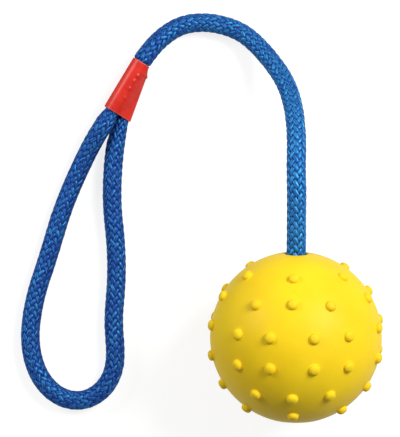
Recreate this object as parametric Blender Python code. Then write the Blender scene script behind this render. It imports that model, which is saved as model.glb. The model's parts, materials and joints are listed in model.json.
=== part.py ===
# Ball on rope: a solid pimpled rubber ball on a braided rope that ends in a hand loop.
# Metres, +Z up. The toy lies on the surface z = 0, with the ball at the right, the loop at
# the left and the rope arching over the top. The origin is on that surface, under the
# middle of the box around the ball and the sleeve.

import math

import bmesh
import bpy
import numpy as np
from mathutils import Matrix, Vector

# Gap left between pieces that touch on the real toy
CLEARANCE = 0.0003

# Ball, and how it lies: its bore tips up at the rope's end, and it is turned a little about it
BALL_DIAMETER = 0.0600
BALL_X = 0.0183
BALL_Y = -0.0350
BORE_TILT = math.radians(8.8)
BALL_TURN = math.radians(-4.6)
MOUTH_ROUND = 0.0012
RECESS_ROUND = 0.0006
RECESS_FLOOR_ROUND = 0.0025
RECESS_SIDE_GAP = 0.0006
KNOT_SET_BACK = 0.0030

# Pimples: rows by latitude about the bore, each with its longitudes from the front of the ball.
# Every one is repeated left and right, front and back, and towards both ends of the bore.
PIMPLE_DIAMETER = 0.0038
PIMPLE_HEIGHT = 0.0017
PIMPLE_TOP_DIAMETER = 0.0027
PIMPLE_ROWS = (
    (10.2, (14.8, 39.8, 75.0)),
    (31.0, (29.5, 74.0)),
    (32.8, (0.0,)),
    (50.5, (59.0,)),
    (52.3, (0.0,)),
)

# Rope: full where it lies free, drawn thinner in the knot and where the sleeve grips it
ROPE_DIAMETER = 0.0070
KNOT_ROPE_DIAMETER = 0.0050
GRIPPED_ROPE_DIAMETER = 0.0054
LEAD_SWELL = 0.0030
LOOP_SWELL = 0.0120
SPLIT_DEPTH = 0.0040
SLIDE_TRAVEL = 0.0200
TUBE_STEP = 0.0072
END_STEP = 0.0016

# Overhand knot: two coils that mirror each other, each tucked in under the other.
# The rope goes half a turn round its coil, then turns in to the bore's line over the tuck.
KNOT_COIL_RADIUS = 0.00577
KNOT_COIL_RISE = 0.00629
KNOT_END_RISE = 0.00413
KNOT_END_RUN = 0.00257
KNOT_TAIL = 0.0030
KNOT_RISE_RATE = 0.8
KNOT_TUCK_DEGREES = 60

# Route of the free rope from the straight stretch at the ball to the sleeve: it comes down to
# the surface, arches round and climbs over its own cut end
LEAD_ROUTE = (
    (0.0182, 0.0250, 0.0380),
    (0.0184, 0.0328, 0.0348),
    (0.0182, 0.0404, 0.0295),
    (0.0172, 0.0480, 0.0230),
    (0.0148, 0.0554, 0.0165),
    (0.0108, 0.0621, 0.0110),
    (0.0059, 0.0682, 0.0070),
    (0.0002, 0.0732, 0.0046),
    (-0.0070, 0.0762, 0.0037),
    (-0.0146, 0.0772, 0.0036),
    (-0.0222, 0.0758, 0.0043),
    (-0.0286, 0.0717, 0.0062),
    (-0.0330, 0.0670, 0.0083),
)

# Route of the hand loop, from the sleeve down its left side, round the end and back up
LOOP_ROUTE = (
    (-0.0483, 0.0426, 0.0071),
    (-0.0500, 0.0399, 0.0074),
    (-0.0531, 0.0349, 0.0065),
    (-0.0570, 0.0276, 0.0045),
    (-0.0605, 0.0201, 0.0037),
    (-0.0637, 0.0124, 0.0036),
    (-0.0664, 0.0046, 0.0036),
    (-0.0688, -0.0034, 0.0036),
    (-0.0713, -0.0113, 0.0036),
    (-0.0738, -0.0192, 0.0036),
    (-0.0756, -0.0272, 0.0036),
    (-0.0764, -0.0354, 0.0036),
    (-0.0755, -0.0437, 0.0036),
    (-0.0723, -0.0514, 0.0036),
    (-0.0664, -0.0572, 0.0036),
    (-0.0587, -0.0591, 0.0036),
    (-0.0510, -0.0557, 0.0036),
    (-0.0467, -0.0489, 0.0036),
    (-0.0458, -0.0406, 0.0036),
    (-0.0463, -0.0324, 0.0036),
    (-0.0460, -0.0241, 0.0036),
    (-0.0454, -0.0158, 0.0036),
    (-0.0454, -0.0075, 0.0036),
    (-0.0459, 0.0007, 0.0036),
    (-0.0467, 0.0090, 0.0036),
    (-0.0469, 0.0173, 0.0036),
    (-0.0465, 0.0256, 0.0036),
    (-0.0455, 0.0338, 0.0036),
    (-0.0442, 0.0393, 0.0036),
)

# Sleeve: shrunk film over the running leg of the rope and its cut end, which lies under that leg
# and comes out to the right of it
SLEEVE_X = -0.0362
SLEEVE_Y = 0.0625
SLEEVE_HEADING = math.radians(238.7)
SLEEVE_LENGTH = 0.0203
SLEEVE_WALL = 0.00035
CUT_END_SET_BACK = 0.0030
CUT_END_OFFSET = 0.0007
LEG_FAN_OUT = 0.0041
FILM_SLOPE = 0.0020

# Sewing thread that holds the two legs together, sunk flush into them
THREAD_DIAMETER = 0.0008
STITCH_COUNT = 5
STITCH_FIRST = 0.0049
STITCH_PITCH = 0.0026
STITCH_OFFSET = 0.0015
STITCH_CORNER = 0.0005

BALL_RADIUS = BALL_DIAMETER / 2
ROPE_RADIUS = ROPE_DIAMETER / 2
KNOT_ROPE_RADIUS = KNOT_ROPE_DIAMETER / 2
GRIPPED_RADIUS = GRIPPED_ROPE_DIAMETER / 2
BORE_RADIUS = ROPE_RADIUS + CLEARANCE
KNOT_RADIUS = KNOT_COIL_RADIUS + KNOT_ROPE_RADIUS
KNOT_HALF_HEIGHT = KNOT_COIL_RISE + KNOT_ROPE_RADIUS
RECESS_RADIUS = KNOT_RADIUS + RECESS_SIDE_GAP
LEG_SPACING = GRIPPED_ROPE_DIAMETER + CLEARANCE

# Places along the bore, measured from the ball's middle, towards the rope's end
RECESS_RIM = -math.sqrt(BALL_RADIUS ** 2 - RECESS_RADIUS ** 2)
KNOT_MIDDLE = RECESS_RIM + KNOT_SET_BACK + KNOT_HALF_HEIGHT
RECESS_FLOOR = KNOT_MIDDLE + KNOT_HALF_HEIGHT + CLEARANCE
MOUTH = math.sqrt(BALL_RADIUS ** 2 - BORE_RADIUS ** 2)
TAIL_END = MOUTH - SPLIT_DEPTH
STRAIGHT_END = MOUTH + SLIDE_TRAVEL + CLEARANCE


def clear_scene():
    """Starts from an empty file."""
    for thing in list(bpy.data.objects):
        bpy.data.objects.remove(thing, do_unlink=True)


def plain_material(name, colour, roughness):
    """A Principled material of one colour."""
    material = bpy.data.materials.new(name)
    material.use_nodes = True
    shader = material.node_tree.nodes["Principled BSDF"]
    shader.inputs["Base Color"].default_value = (*colour, 1.0)
    shader.inputs["Roughness"].default_value = roughness
    shader.inputs["Metallic"].default_value = 0.0
    material.diffuse_color = (*colour, 1.0)
    return material


def add_object(name, data, material, parent=None):
    """Puts mesh or curve data into the scene under a name."""
    thing = bpy.data.objects.new(name, data)
    bpy.context.collection.objects.link(thing)
    if material is not None:
        data.materials.append(material)
    thing.parent = parent
    return thing


def finish_mesh(name, shape, smooth_angle=None):
    """Turns a bmesh into mesh data with its faces pointing out."""
    bmesh.ops.recalc_face_normals(shape, faces=shape.faces)
    data = bpy.data.meshes.new(name)
    shape.to_mesh(data)
    shape.free()
    if smooth_angle is not None:
        data.shade_smooth()
        data.set_sharp_from_angle(angle=smooth_angle)
    return data


def arc(centre, radius, start, end, steps):
    """Points along a circular arc in a plane, both ends included."""
    angles = np.linspace(start, end, steps + 1)
    return [(centre[0] + radius * math.cos(a), centre[1] + radius * math.sin(a)) for a in angles]


def smooth_route(points):
    """Fine points on the natural cubic spline through the route's own points, and their distances."""
    points = np.array(points, dtype=float)
    spans = np.linalg.norm(np.diff(points, axis=0), axis=1)
    places = np.concatenate([[0.0], np.cumsum(spans)])
    count = len(points)
    rows = np.eye(count)
    sides = np.zeros((count, 3))
    slopes = np.diff(points, axis=0) / spans[:, None]
    for i in range(1, count - 1):
        rows[i, i - 1:i + 2] = spans[i - 1], 2 * (spans[i - 1] + spans[i]), spans[i]
        sides[i] = 6 * (slopes[i] - slopes[i - 1])
    bends = np.linalg.solve(rows, sides)
    fine = []
    for i, span in enumerate(spans):
        for t in np.linspace(0.0, 1.0, 25)[(0 if i == 0 else 1):]:
            a = 1.0 - t
            fine.append(a * points[i] + t * points[i + 1]
                        + ((a ** 3 - a) * bends[i] + (t ** 3 - t) * bends[i + 1]) * span ** 2 / 6)
    fine = np.array(fine)
    along = np.concatenate([[0.0], np.cumsum(np.linalg.norm(np.diff(fine, axis=0), axis=1))])
    return fine, along


def read_route(route, places):
    """The route's points at the given distances from its start."""
    fine, along = route
    return np.stack([np.interp(places, along, fine[:, i]) for i in range(3)], axis=1)


def spaced(length, extra):
    """Distances along a length about a step apart, with the extra ones in place of their neighbours."""
    even = np.linspace(0.0, length, round(length / TUBE_STEP) + 1)
    kept = [d for d in even[1:-1] if min(abs(d - place) for place in extra) > 0.4 * TUBE_STEP]
    return np.array(sorted([0.0, length, *extra, *kept]))


def tube(name, points, radii, material, sides=12, parent=None):
    """A rope or thread along points, as a curve with a round bevel and closed ends."""
    data = bpy.data.curves.new(name, "CURVE")
    data.dimensions = "3D"
    data.bevel_depth = max(radii)
    data.bevel_resolution = (sides - 4) // 2
    data.use_fill_caps = True
    spline = data.splines.new("POLY")
    spline.points.add(len(points) - 1)
    for spot, place, radius in zip(spline.points, points, radii):
        spot.co = (*place, 1.0)
        spot.radius = radius / max(radii)
    spline.use_smooth = True
    return add_object(name, data, material, parent)


def hide_cutter(cutter):
    """Keeps a cutting shape out of sight."""
    cutter.hide_render = True
    cutter.display_type = "WIRE"
    return cutter


def boolean(thing, cutter, operation):
    """Joins or cuts one solid with another."""
    modifier = thing.modifiers.new(cutter.name, "BOOLEAN")
    modifier.operation = operation
    modifier.solver = "EXACT"
    modifier.object = cutter


def pimple_directions():
    """Unit directions of all pimples, with the bore along Z and the front of the ball along -Y."""
    seen = set()
    for latitude, longitudes in PIMPLE_ROWS:
        for longitude in longitudes:
            for end in (1, -1):
                for side in (1, -1):
                    for front in (longitude, 180.0 - longitude):
                        lat = math.radians(end * latitude)
                        lon = math.radians(side * front)
                        seen.add((round(math.cos(lat) * math.sin(lon), 9),
                                  round(-math.cos(lat) * math.cos(lon), 9),
                                  round(math.sin(lat), 9)))
    return [Vector(direction) for direction in sorted(seen)]


def pimple_rings():
    """Radius and distance from the ball's middle of each ring of one pimple, root first."""
    foot = math.sqrt(BALL_RADIUS ** 2 - (PIMPLE_DIAMETER / 2) ** 2)
    tip = BALL_RADIUS + PIMPLE_HEIGHT
    rounding = (PIMPLE_DIAMETER - PIMPLE_TOP_DIAMETER) / 2
    return (
        (PIMPLE_DIAMETER / 2, foot - PIMPLE_HEIGHT / 2),
        (PIMPLE_DIAMETER / 2, tip - rounding),
        (PIMPLE_TOP_DIAMETER / 2, tip - rounding / 4),
    ), tip


def ball_turned():
    """Turns the ball's own frame, bore along Z, into the way it lies."""
    lay_down = Matrix.Rotation(BORE_TILT - math.pi / 2, 4, "X")
    return lay_down @ Matrix.Rotation(BALL_TURN, 4, "Z")


def ball_height():
    """Height of the ball's middle when it stands on its lowest pimples."""
    turned = ball_turned().to_3x3()
    rings, tip = pimple_rings()
    lowest = 0.0
    for direction in pimple_directions():
        down = (turned @ direction).z
        across = math.sqrt(max(0.0, 1.0 - down * down))
        lowest = min([lowest, down * tip] + [down * away - across * radius for radius, away in rings])
    return -lowest


BALL_HEIGHT = ball_height()
BORE_AXIS = Vector((0.0, math.cos(BORE_TILT), math.sin(BORE_TILT)))


def bore_point(distance):
    """World place on the bore's axis, at a distance from the ball's middle."""
    return Vector((BALL_X, BALL_Y, BALL_HEIGHT)) + BORE_AXIS * distance


def make_bore_frame():
    """The empty at the ball's middle that carries the ball and the rope inside it."""
    frame = bpy.data.objects.new("bore_frame", None)
    bpy.context.collection.objects.link(frame)
    frame.matrix_world = Matrix.Translation(bore_point(0.0)) @ ball_turned()
    return frame


def ball_profile():
    """Half section of the ball as (radius, height along the bore), a closed outline."""
    lip = (BORE_RADIUS + MOUTH_ROUND, 0.0)
    lip_height = math.sqrt((BALL_RADIUS - MOUTH_ROUND) ** 2 - lip[0] ** 2)
    lip_angle = math.atan2(lip_height, lip[0])
    rim_radius = RECESS_RADIUS + RECESS_ROUND
    rim_height = -math.sqrt((BALL_RADIUS - RECESS_ROUND) ** 2 - rim_radius ** 2)
    rim_angle = math.atan2(rim_height, rim_radius)
    floor_inner = BORE_RADIUS + MOUTH_ROUND
    outline = arc((lip[0], lip_height), MOUTH_ROUND, math.pi, lip_angle, 3)
    outline += arc((0.0, 0.0), BALL_RADIUS, lip_angle, rim_angle, 24)[1:]
    outline += arc((rim_radius, rim_height), RECESS_ROUND, rim_angle, -math.pi, 3)[1:]
    outline += arc((RECESS_RADIUS - RECESS_FLOOR_ROUND, RECESS_FLOOR - RECESS_FLOOR_ROUND),
                   RECESS_FLOOR_ROUND, 0.0, math.pi / 2, 3)
    outline += arc((floor_inner, RECESS_FLOOR + MOUTH_ROUND), MOUTH_ROUND, -math.pi / 2, -math.pi, 2)
    return outline


def turn_profile(outline, segments):
    """Solid of revolution about Z of a closed outline that stays off the axis."""
    shape = bmesh.new()
    rings = []
    for k in range(segments):
        angle = 2 * math.pi * k / segments
        rings.append([shape.verts.new((r * math.cos(angle), r * math.sin(angle), h)) for r, h in outline])
    for k, ring in enumerate(rings):
        after = rings[(k + 1) % segments]
        for i in range(len(outline)):
            j = (i + 1) % len(outline)
            shape.faces.new((ring[i], ring[j], after[j], after[i]))
    return shape


def pimple_shapes():
    """All pimples as closed studs rooted inside the ball."""
    shape = bmesh.new()
    rings, tip = pimple_rings()
    for direction in pimple_directions():
        across = direction.orthogonal().normalized()
        beside = direction.cross(across)
        circles = []
        for radius, away in rings:
            circle = []
            for k in range(10):
                angle = 2 * math.pi * k / 10
                spot = direction * away + (across * math.cos(angle) + beside * math.sin(angle)) * radius
                circle.append(shape.verts.new(spot))
            circles.append(circle)
        shape.faces.new(circles[0])
        for low, high in zip(circles, circles[1:]):
            for k in range(10):
                shape.faces.new((low[k], low[(k + 1) % 10], high[(k + 1) % 10], high[k]))
        top = shape.verts.new(direction * tip)
        for k in range(10):
            shape.faces.new((circles[-1][k], circles[-1][(k + 1) % 10], top))
    return shape


def make_ball(frame, rubber):
    """The rubber ball: moulded round with a through bore, a knot recess and its pimples."""
    ball = add_object("ball", finish_mesh("ball", turn_profile(ball_profile(), 48), math.radians(35)),
                      rubber, frame)
    pimples = add_object("pimple_shapes", finish_mesh("pimple_shapes", pimple_shapes()), rubber, frame)
    boolean(ball, hide_cutter(pimples), "UNION")
    return ball


def knot_half(sign):
    """One half of the overhand knot, from its middle out to one end along the bore."""
    half = []
    for degrees in range(0, 181 + KNOT_TUCK_DEGREES, 15):
        turn = math.radians(degrees)
        tuck = math.radians(max(0, degrees - 180))
        reach = KNOT_COIL_RADIUS * math.cos(tuck)
        rise = KNOT_COIL_RISE * math.sin(KNOT_RISE_RATE * turn)
        half.append((-sign * reach * math.sin(turn), reach * math.cos(turn), KNOT_MIDDLE - sign * rise))
    half.append((0.0, 0.0, KNOT_MIDDLE + sign * KNOT_END_RISE))
    half.append((0.0, 0.0, KNOT_MIDDLE + sign * (KNOT_END_RISE + KNOT_END_RUN)))
    return half


def knot_route():
    """Centre line of the knot, its rope end down in the recess and its standing end in the bore."""
    points = knot_half(-1)[:0:-1] + knot_half(1)
    points.insert(0, (0.0, 0.0, KNOT_MIDDLE - KNOT_HALF_HEIGHT - KNOT_TAIL))
    points.append((0.0, 0.0, RECESS_FLOOR + KNOT_ROPE_DIAMETER))
    return points


def least_self_gap(route, swell, skip):
    """Least gap between stretches of one tube that lie further apart along it than skip."""
    places = np.linspace(0.0, route[1][-1], 700)
    points = read_route(route, places)
    radii = np.array([swell(place) for place in places])
    gaps = np.linalg.norm(points[:, None] - points[None], axis=2) - radii[:, None] - radii[None]
    far = np.abs(places[:, None] - places[None]) > skip
    return float(gaps[far].min())


def make_knot(frame, rope):
    """The overhand stopper knot at the rope's end, drawn up in the ball's recess."""
    route = smooth_route(knot_route())
    length = route[1][-1]
    line = read_route(route, np.linspace(0.0, length, 64))
    line[:2, :2] = 0.0
    line[-2:, :2] = 0.0
    gap = least_self_gap(route, lambda place: KNOT_ROPE_RADIUS, 1.6 * KNOT_ROPE_DIAMETER)
    print("knot: length", round(length * 1000, 1), "mm, least gap to itself", round(gap * 1000, 2), "mm")
    return tube("stopper_knot", line, [KNOT_ROPE_RADIUS] * len(line), rope, parent=frame)


def make_tail(frame, rope):
    """The rope through the bore, from the knot to just inside the ball's mouth."""
    low = RECESS_FLOOR + KNOT_ROPE_DIAMETER + CLEARANCE
    heights = spaced(TAIL_END - low, (LEAD_SWELL,)) + low
    radii = [KNOT_ROPE_RADIUS if h == heights[0] else ROPE_RADIUS for h in heights]
    return tube("rope_tail", [(0.0, 0.0, h) for h in heights], radii, rope, parent=frame)


def sleeve_frame():
    """Directions along the sleeve, across it to the right, and up."""
    along = Vector((math.cos(SLEEVE_HEADING), math.sin(SLEEVE_HEADING), 0.0))
    across = Vector((-along.y, along.x, 0.0))
    return along, across


def leg_offset(s):
    """How far the cut end's leg lies to the right of the running leg, at a distance down the sleeve."""
    share = (s - CUT_END_SET_BACK) / (SLEEVE_LENGTH - CUT_END_SET_BACK)
    return CUT_END_OFFSET + (LEG_FAN_OUT - CUT_END_OFFSET) * share


def low_leg_height():
    """Height of the leg that lies lowest, on the film that lies on the surface."""
    return SLEEVE_WALL + CLEARANCE + GRIPPED_RADIUS


def high_leg_height(s):
    """Height of the running leg, which rides on the cut end's leg."""
    return low_leg_height() + math.sqrt(LEG_SPACING ** 2 - leg_offset(s) ** 2)


def in_sleeve(s, right, height):
    """World place from a distance down the sleeve, an offset to the right and a height."""
    along, across = sleeve_frame()
    return Vector((SLEEVE_X, SLEEVE_Y, height)) + along * s + across * right


def running_leg(s):
    """Centre of the running leg at a distance down the sleeve."""
    return in_sleeve(s, 0.0, high_leg_height(s))


def cut_leg(s):
    """Centre of the cut end's leg at a distance down the sleeve."""
    return in_sleeve(s, leg_offset(s), low_leg_height())


def end_swell(distance, swell):
    """Rope radius at a distance from the grip of the sleeve, full again after the swell."""
    share = min(1.0, max(0.0, distance / swell))
    return GRIPPED_RADIUS + (ROPE_RADIUS - GRIPPED_RADIUS) * share


def make_lead(rope):
    """Free rope from the ball's mouth, down to the surface, round and up to the sleeve."""
    straight = [tuple(bore_point(d)) for d in np.linspace(TAIL_END + CLEARANCE, STRAIGHT_END, 5)]
    arrival = [tuple(running_leg(-CLEARANCE / 2))]
    route = smooth_route(straight + list(LEAD_ROUTE) + arrival)
    length = route[1][-1]
    straight_length = STRAIGHT_END - TAIL_END - CLEARANCE
    places = spaced(length, (straight_length, length - LEAD_SWELL, length - END_STEP))
    line = read_route(route, places)
    for i, place in enumerate(places):
        if place <= straight_length:
            line[i] = bore_point(TAIL_END + CLEARANCE + place)
    print("lead: length", round(length * 1000, 1), "mm")
    return tube("rope_lead", line, [end_swell(length - d, LEAD_SWELL) for d in places], rope)


def make_loop(rope):
    """Free rope of the hand loop, from the sleeve and back to it."""
    start = [tuple(running_leg(SLEEVE_LENGTH + CLEARANCE / 2))]
    back = [tuple(cut_leg(SLEEVE_LENGTH + CLEARANCE / 2))]
    route = smooth_route(start + list(LOOP_ROUTE) + back)
    length = route[1][-1]
    places = spaced(length, (END_STEP, LOOP_SWELL, length - LOOP_SWELL, length - END_STEP))

    def radius(place):
        return end_swell(min(place, length - place), LOOP_SWELL)

    gap = least_self_gap(route, radius, 0.1)
    print("loop: length", round(length * 1000, 1), "mm, least gap between its legs", round(gap * 1000, 2), "mm")
    return tube("rope_loop", read_route(route, places), [radius(place) for place in places], rope)


def solid_tube(name, points, radius, material, sides=12):
    """The same round tube as mesh data, for pieces that are cut afterwards."""
    curve = tube(name + "_line", points, [radius] * len(points), material, sides)
    graph = bpy.context.evaluated_depsgraph_get()
    data = bpy.data.meshes.new_from_object(curve.evaluated_get(graph))
    data.name = name
    bpy.data.objects.remove(curve, do_unlink=True)
    return add_object(name, data, None)


def stitch_route():
    """Line of the thread: up through both legs, along, down through both, along, and so on."""
    line = []
    above = GRIPPED_RADIUS - THREAD_DIAMETER / 2
    for k in range(STITCH_COUNT):
        s = STITCH_FIRST + k * STITCH_PITCH
        low_side = abs(STITCH_OFFSET - leg_offset(s))
        bottom = low_leg_height() - math.sqrt(above ** 2 - low_side ** 2)
        top = high_leg_height(s) + math.sqrt(above ** 2 - STITCH_OFFSET ** 2)
        going_up = k % 2 == 0
        first, last = (bottom, top) if going_up else (top, bottom)
        ease = STITCH_CORNER if going_up else -STITCH_CORNER
        if k > 0:
            line.append(in_sleeve(s - STITCH_CORNER, STITCH_OFFSET, first))
        line.append(in_sleeve(s, STITCH_OFFSET, first + (ease if k > 0 else 0.0)))
        line.append(in_sleeve(s, STITCH_OFFSET, last - (ease if k < STITCH_COUNT - 1 else 0.0)))
        if k < STITCH_COUNT - 1:
            line.append(in_sleeve(s + STITCH_CORNER, STITCH_OFFSET, last))
    return line


def make_legs_and_thread(rope, thread):
    """The two legs inside the sleeve, and the thread sewn through them."""
    line = stitch_route()
    channel = solid_tube("stitch_channel", line, THREAD_DIAMETER / 2 + CLEARANCE, None, 8)
    hide_cutter(channel)
    inside = CLEARANCE / 2
    running = [running_leg(s) for s in np.linspace(inside, SLEEVE_LENGTH - inside, 6)]
    cut = [cut_leg(s) for s in np.linspace(CUT_END_SET_BACK, SLEEVE_LENGTH - inside, 5)]
    for name, points in (("rope_leg_running", running), ("rope_leg_cut_end", cut)):
        leg = solid_tube(name, points, GRIPPED_RADIUS, rope)
        boolean(leg, channel, "DIFFERENCE")
    return tube("stitch_thread", line, [THREAD_DIAMETER / 2] * len(line), thread, 8)


def belt_outline(circles, sides):
    """Outline of a film stretched round circles (across, height, radius), as (across, height)."""
    outline = []
    for k in range(sides):
        angle = 2 * math.pi * (k + 0.5) / sides
        out = (math.cos(angle), math.sin(angle))
        x, y, r = max(circles, key=lambda c: c[0] * out[0] + c[1] * out[1] + c[2])
        outline.append((x + r * out[0], y + r * out[1]))
    return outline


def sleeve_circles(s, radius):
    """What the film goes round at a distance down the sleeve."""
    high = (0.0, high_leg_height(s), radius)
    share = min(1.0, max(0.0, (s - CUT_END_SET_BACK + CLEARANCE + FILM_SLOPE) / FILM_SLOPE))
    across = leg_offset(s) * share
    height = high[1] + (low_leg_height() - high[1]) * share
    return [high, (across, height, radius)]


def make_sleeve(film):
    """The shrunk film sleeve, open at both ends."""
    shape = bmesh.new()
    knee = CUT_END_SET_BACK - CLEARANCE
    stations = sorted({0.0, knee - FILM_SLOPE, knee - FILM_SLOPE / 2, knee}
                      | set(np.linspace(knee, SLEEVE_LENGTH, 6)))
    inner_radius = GRIPPED_RADIUS + CLEARANCE
    walls = []
    for radius in (inner_radius + SLEEVE_WALL, inner_radius):
        wall = []
        for s in stations:
            outline = belt_outline(sleeve_circles(s, radius), 32)
            wall.append([shape.verts.new(in_sleeve(s, x, y)) for x, y in outline])
        walls.append(wall)
    outer, inner = walls
    for wall in walls:
        for ring, after in zip(wall, wall[1:]):
            for k in range(32):
                j = (k + 1) % 32
                shape.faces.new((ring[k], ring[j], after[j], after[k]))
    for end in (0, -1):
        for k in range(32):
            j = (k + 1) % 32
            shape.faces.new((outer[end][k], outer[end][j], inner[end][j], inner[end][k]))
    return add_object("shrink_sleeve", finish_mesh("shrink_sleeve", shape, math.radians(40)), film)


def main():
    clear_scene()
    rubber = plain_material("yellow_rubber", (0.86, 0.62, 0.03), 0.5)
    rope = plain_material("blue_braid", (0.02, 0.16, 0.50), 0.75)
    film = plain_material("red_shrink_film", (0.72, 0.04, 0.02), 0.35)
    thread = plain_material("white_thread", (0.80, 0.80, 0.78), 0.8)
    frame = make_bore_frame()
    make_ball(frame, rubber)
    make_knot(frame, rope)
    make_tail(frame, rope)
    make_lead(rope)
    make_legs_and_thread(rope, thread)
    make_sleeve(film)
    make_loop(rope)


main()
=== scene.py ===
# %% [markdown]
# This scene dresses a ball on a rope, a throw and tug toy for dogs: a solid yellow rubber ball with
# rows of pimples, a blue braided rope knotted behind it, and a hand loop closed by a red sleeve of
# shrunk film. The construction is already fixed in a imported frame, in metres. Everything here is
# built around that frame, in the same space, so that it moves with the frame's bodies.

import itertools
import json
import math

import bpy
import numpy as np
from mathutils import Matrix, Vector


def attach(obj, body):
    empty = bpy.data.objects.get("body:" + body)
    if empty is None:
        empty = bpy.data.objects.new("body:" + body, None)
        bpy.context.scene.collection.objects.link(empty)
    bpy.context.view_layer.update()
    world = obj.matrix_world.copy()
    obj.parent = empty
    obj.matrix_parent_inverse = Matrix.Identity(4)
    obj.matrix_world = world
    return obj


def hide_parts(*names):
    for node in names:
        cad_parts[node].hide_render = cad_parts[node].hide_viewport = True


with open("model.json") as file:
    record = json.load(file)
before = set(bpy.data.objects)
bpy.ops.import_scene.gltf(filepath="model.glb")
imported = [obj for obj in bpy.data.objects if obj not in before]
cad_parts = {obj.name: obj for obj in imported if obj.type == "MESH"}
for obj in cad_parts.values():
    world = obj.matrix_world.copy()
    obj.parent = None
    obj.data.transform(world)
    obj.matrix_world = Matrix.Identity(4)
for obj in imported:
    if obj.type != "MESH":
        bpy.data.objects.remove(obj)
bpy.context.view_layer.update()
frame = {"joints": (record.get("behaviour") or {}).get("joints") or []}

# %% [markdown]
# The camera comes first, because every later choice is judged through it. The toy was
# photographed from straight above with a long lens, so the rope keeps the same width everywhere.
# A Blender camera that isn't turned looks straight down with +Y up in the picture, so it only
# needs a place and a lens. The lens follows from one measured number, the focal length in pixels.

# %% Camera
PICTURE_WIDTH_PX = 400
PICTURE_HEIGHT_PX = 437
FOCAL_PX = 2484
CAMERA_PLACE = (-0.0152, 0.0065, 0.900)
SENSOR = 36.0
NEAREST_SEEN = 0.01
FURTHEST_SEEN = 20.0

lens = bpy.data.cameras.new("camera")
lens.sensor_width = SENSOR
lens.lens = SENSOR * FOCAL_PX / max(PICTURE_WIDTH_PX, PICTURE_HEIGHT_PX)
lens.clip_start = NEAREST_SEEN
lens.clip_end = FURTHEST_SEEN
camera = bpy.data.objects.new("camera", lens)
camera.location = CAMERA_PLACE
bpy.context.scene.collection.objects.link(camera)
bpy.context.scene.camera = camera
bpy.context.scene.view_settings.view_transform = "Standard"
print("lens:", round(lens.lens, 1), "mm")

# %% [markdown]
# The whole toy hangs on one rope, so its middle line is worked out next. The line starts at the
# cut end behind the ball, goes through an overhand knot and the ball's bore, arches over to the
# sleeve, runs round the hand loop and comes back into the sleeve as the second cut end. The bore's
# place and direction could be typed in, but they are read from the joint that the ball turns on,
# so that they can't differ from the frame's. The other sizes repeat those of the frame.

# %% The ball, its bore and the rope
CLEARANCE = 0.0003
BALL_RADIUS = 0.0300
BALL_TURN = math.radians(-4.6)
ROPE_RADIUS = 0.0035
BORE_RADIUS = ROPE_RADIUS + CLEARANCE

spin = next(joint for joint in frame["joints"] if joint["name"] == "ball_spin")
BALL_MIDDLE = Vector(spin["pos_m"])
BORE_AXIS = Vector(spin["axis"]).normalized()
BORE_TILT = math.asin(BORE_AXIS.z)
BALL_FRAME = (Matrix.Translation(BALL_MIDDLE)
              @ Matrix.Rotation(BORE_TILT - math.pi / 2, 4, "X")
              @ Matrix.Rotation(BALL_TURN, 4, "Z"))
print("the bore tips up by", round(math.degrees(BORE_TILT), 1), "degrees")

# %% [markdown]
# An overhand knot is two coils that mirror each other, each tucked under the other. It could be
# pushed into shape point by point, but half of it is a rule: half a turn round the coil while the
# rope rises, then a turn inwards to the bore's line. The same half, mirrored, makes the rest, and
# the rule keeps the two coils clear of each other. Distances along the bore are counted from the
# ball's middle, towards the rope.

# %% The knot's line and the places along the bore
KNOT_ROPE_RADIUS = 0.0025
KNOT_SET_BACK = 0.0030
KNOT_COIL_RADIUS = 0.00577
KNOT_COIL_RISE = 0.00629
KNOT_END_RISE = 0.00413
KNOT_END_RUN = 0.00257
KNOT_TAIL = 0.0030
KNOT_RISE_RATE = 0.8
KNOT_STEP_DEGREES = 15
KNOT_TUCK_DEGREES = 60
RECESS_SIDE_GAP = 0.0006
SPLIT_DEPTH = 0.0040
SLIDE_TRAVEL = 0.0200

RECESS_RADIUS = KNOT_COIL_RADIUS + KNOT_ROPE_RADIUS + RECESS_SIDE_GAP
RECESS_EDGE = math.sqrt(BALL_RADIUS ** 2 - RECESS_RADIUS ** 2)
KNOT_HALF_HEIGHT = KNOT_COIL_RISE + KNOT_ROPE_RADIUS
KNOT_MIDDLE = KNOT_SET_BACK + KNOT_HALF_HEIGHT - RECESS_EDGE
RECESS_FLOOR = KNOT_MIDDLE + KNOT_HALF_HEIGHT + CLEARANCE
MOUTH = math.sqrt(BALL_RADIUS ** 2 - BORE_RADIUS ** 2)
KNOT_END = RECESS_FLOOR + 2 * KNOT_ROPE_RADIUS
TAIL_END = MOUTH - SPLIT_DEPTH
STRAIGHT_END = MOUTH + SLIDE_TRAVEL + CLEARANCE


def knot_half(sign):
    """One half of the knot, from its middle out to one end along the bore."""
    half = []
    for degrees in range(0, 180 + KNOT_TUCK_DEGREES + 1, KNOT_STEP_DEGREES):
        turn = math.radians(degrees)
        tuck = math.radians(max(0, degrees - 180))
        reach = KNOT_COIL_RADIUS * math.cos(tuck)
        rise = KNOT_COIL_RISE * math.sin(KNOT_RISE_RATE * turn)
        half.append((-sign * reach * math.sin(turn), reach * math.cos(turn),
                     KNOT_MIDDLE - sign * rise))
    for rise in (KNOT_END_RISE, KNOT_END_RISE + KNOT_END_RUN):
        half.append((0.0, 0.0, KNOT_MIDDLE + sign * rise))
    return half


def knot_line():
    """The knot's middle line in the scene, from the cut end to the bore."""
    points = [(0.0, 0.0, KNOT_MIDDLE - KNOT_HALF_HEIGHT - KNOT_TAIL)]
    points += knot_half(-1)[:0:-1] + knot_half(1)
    points.append((0.0, 0.0, KNOT_END))
    return [BALL_FRAME @ Vector(point) for point in points]


def bore_line(start, end, count):
    """Places on the bore's axis between two distances, the first one left out."""
    steps = np.linspace(start, end, count + 1)[1:]
    return [BALL_MIDDLE + BORE_AXIS * distance for distance in steps]


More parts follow.
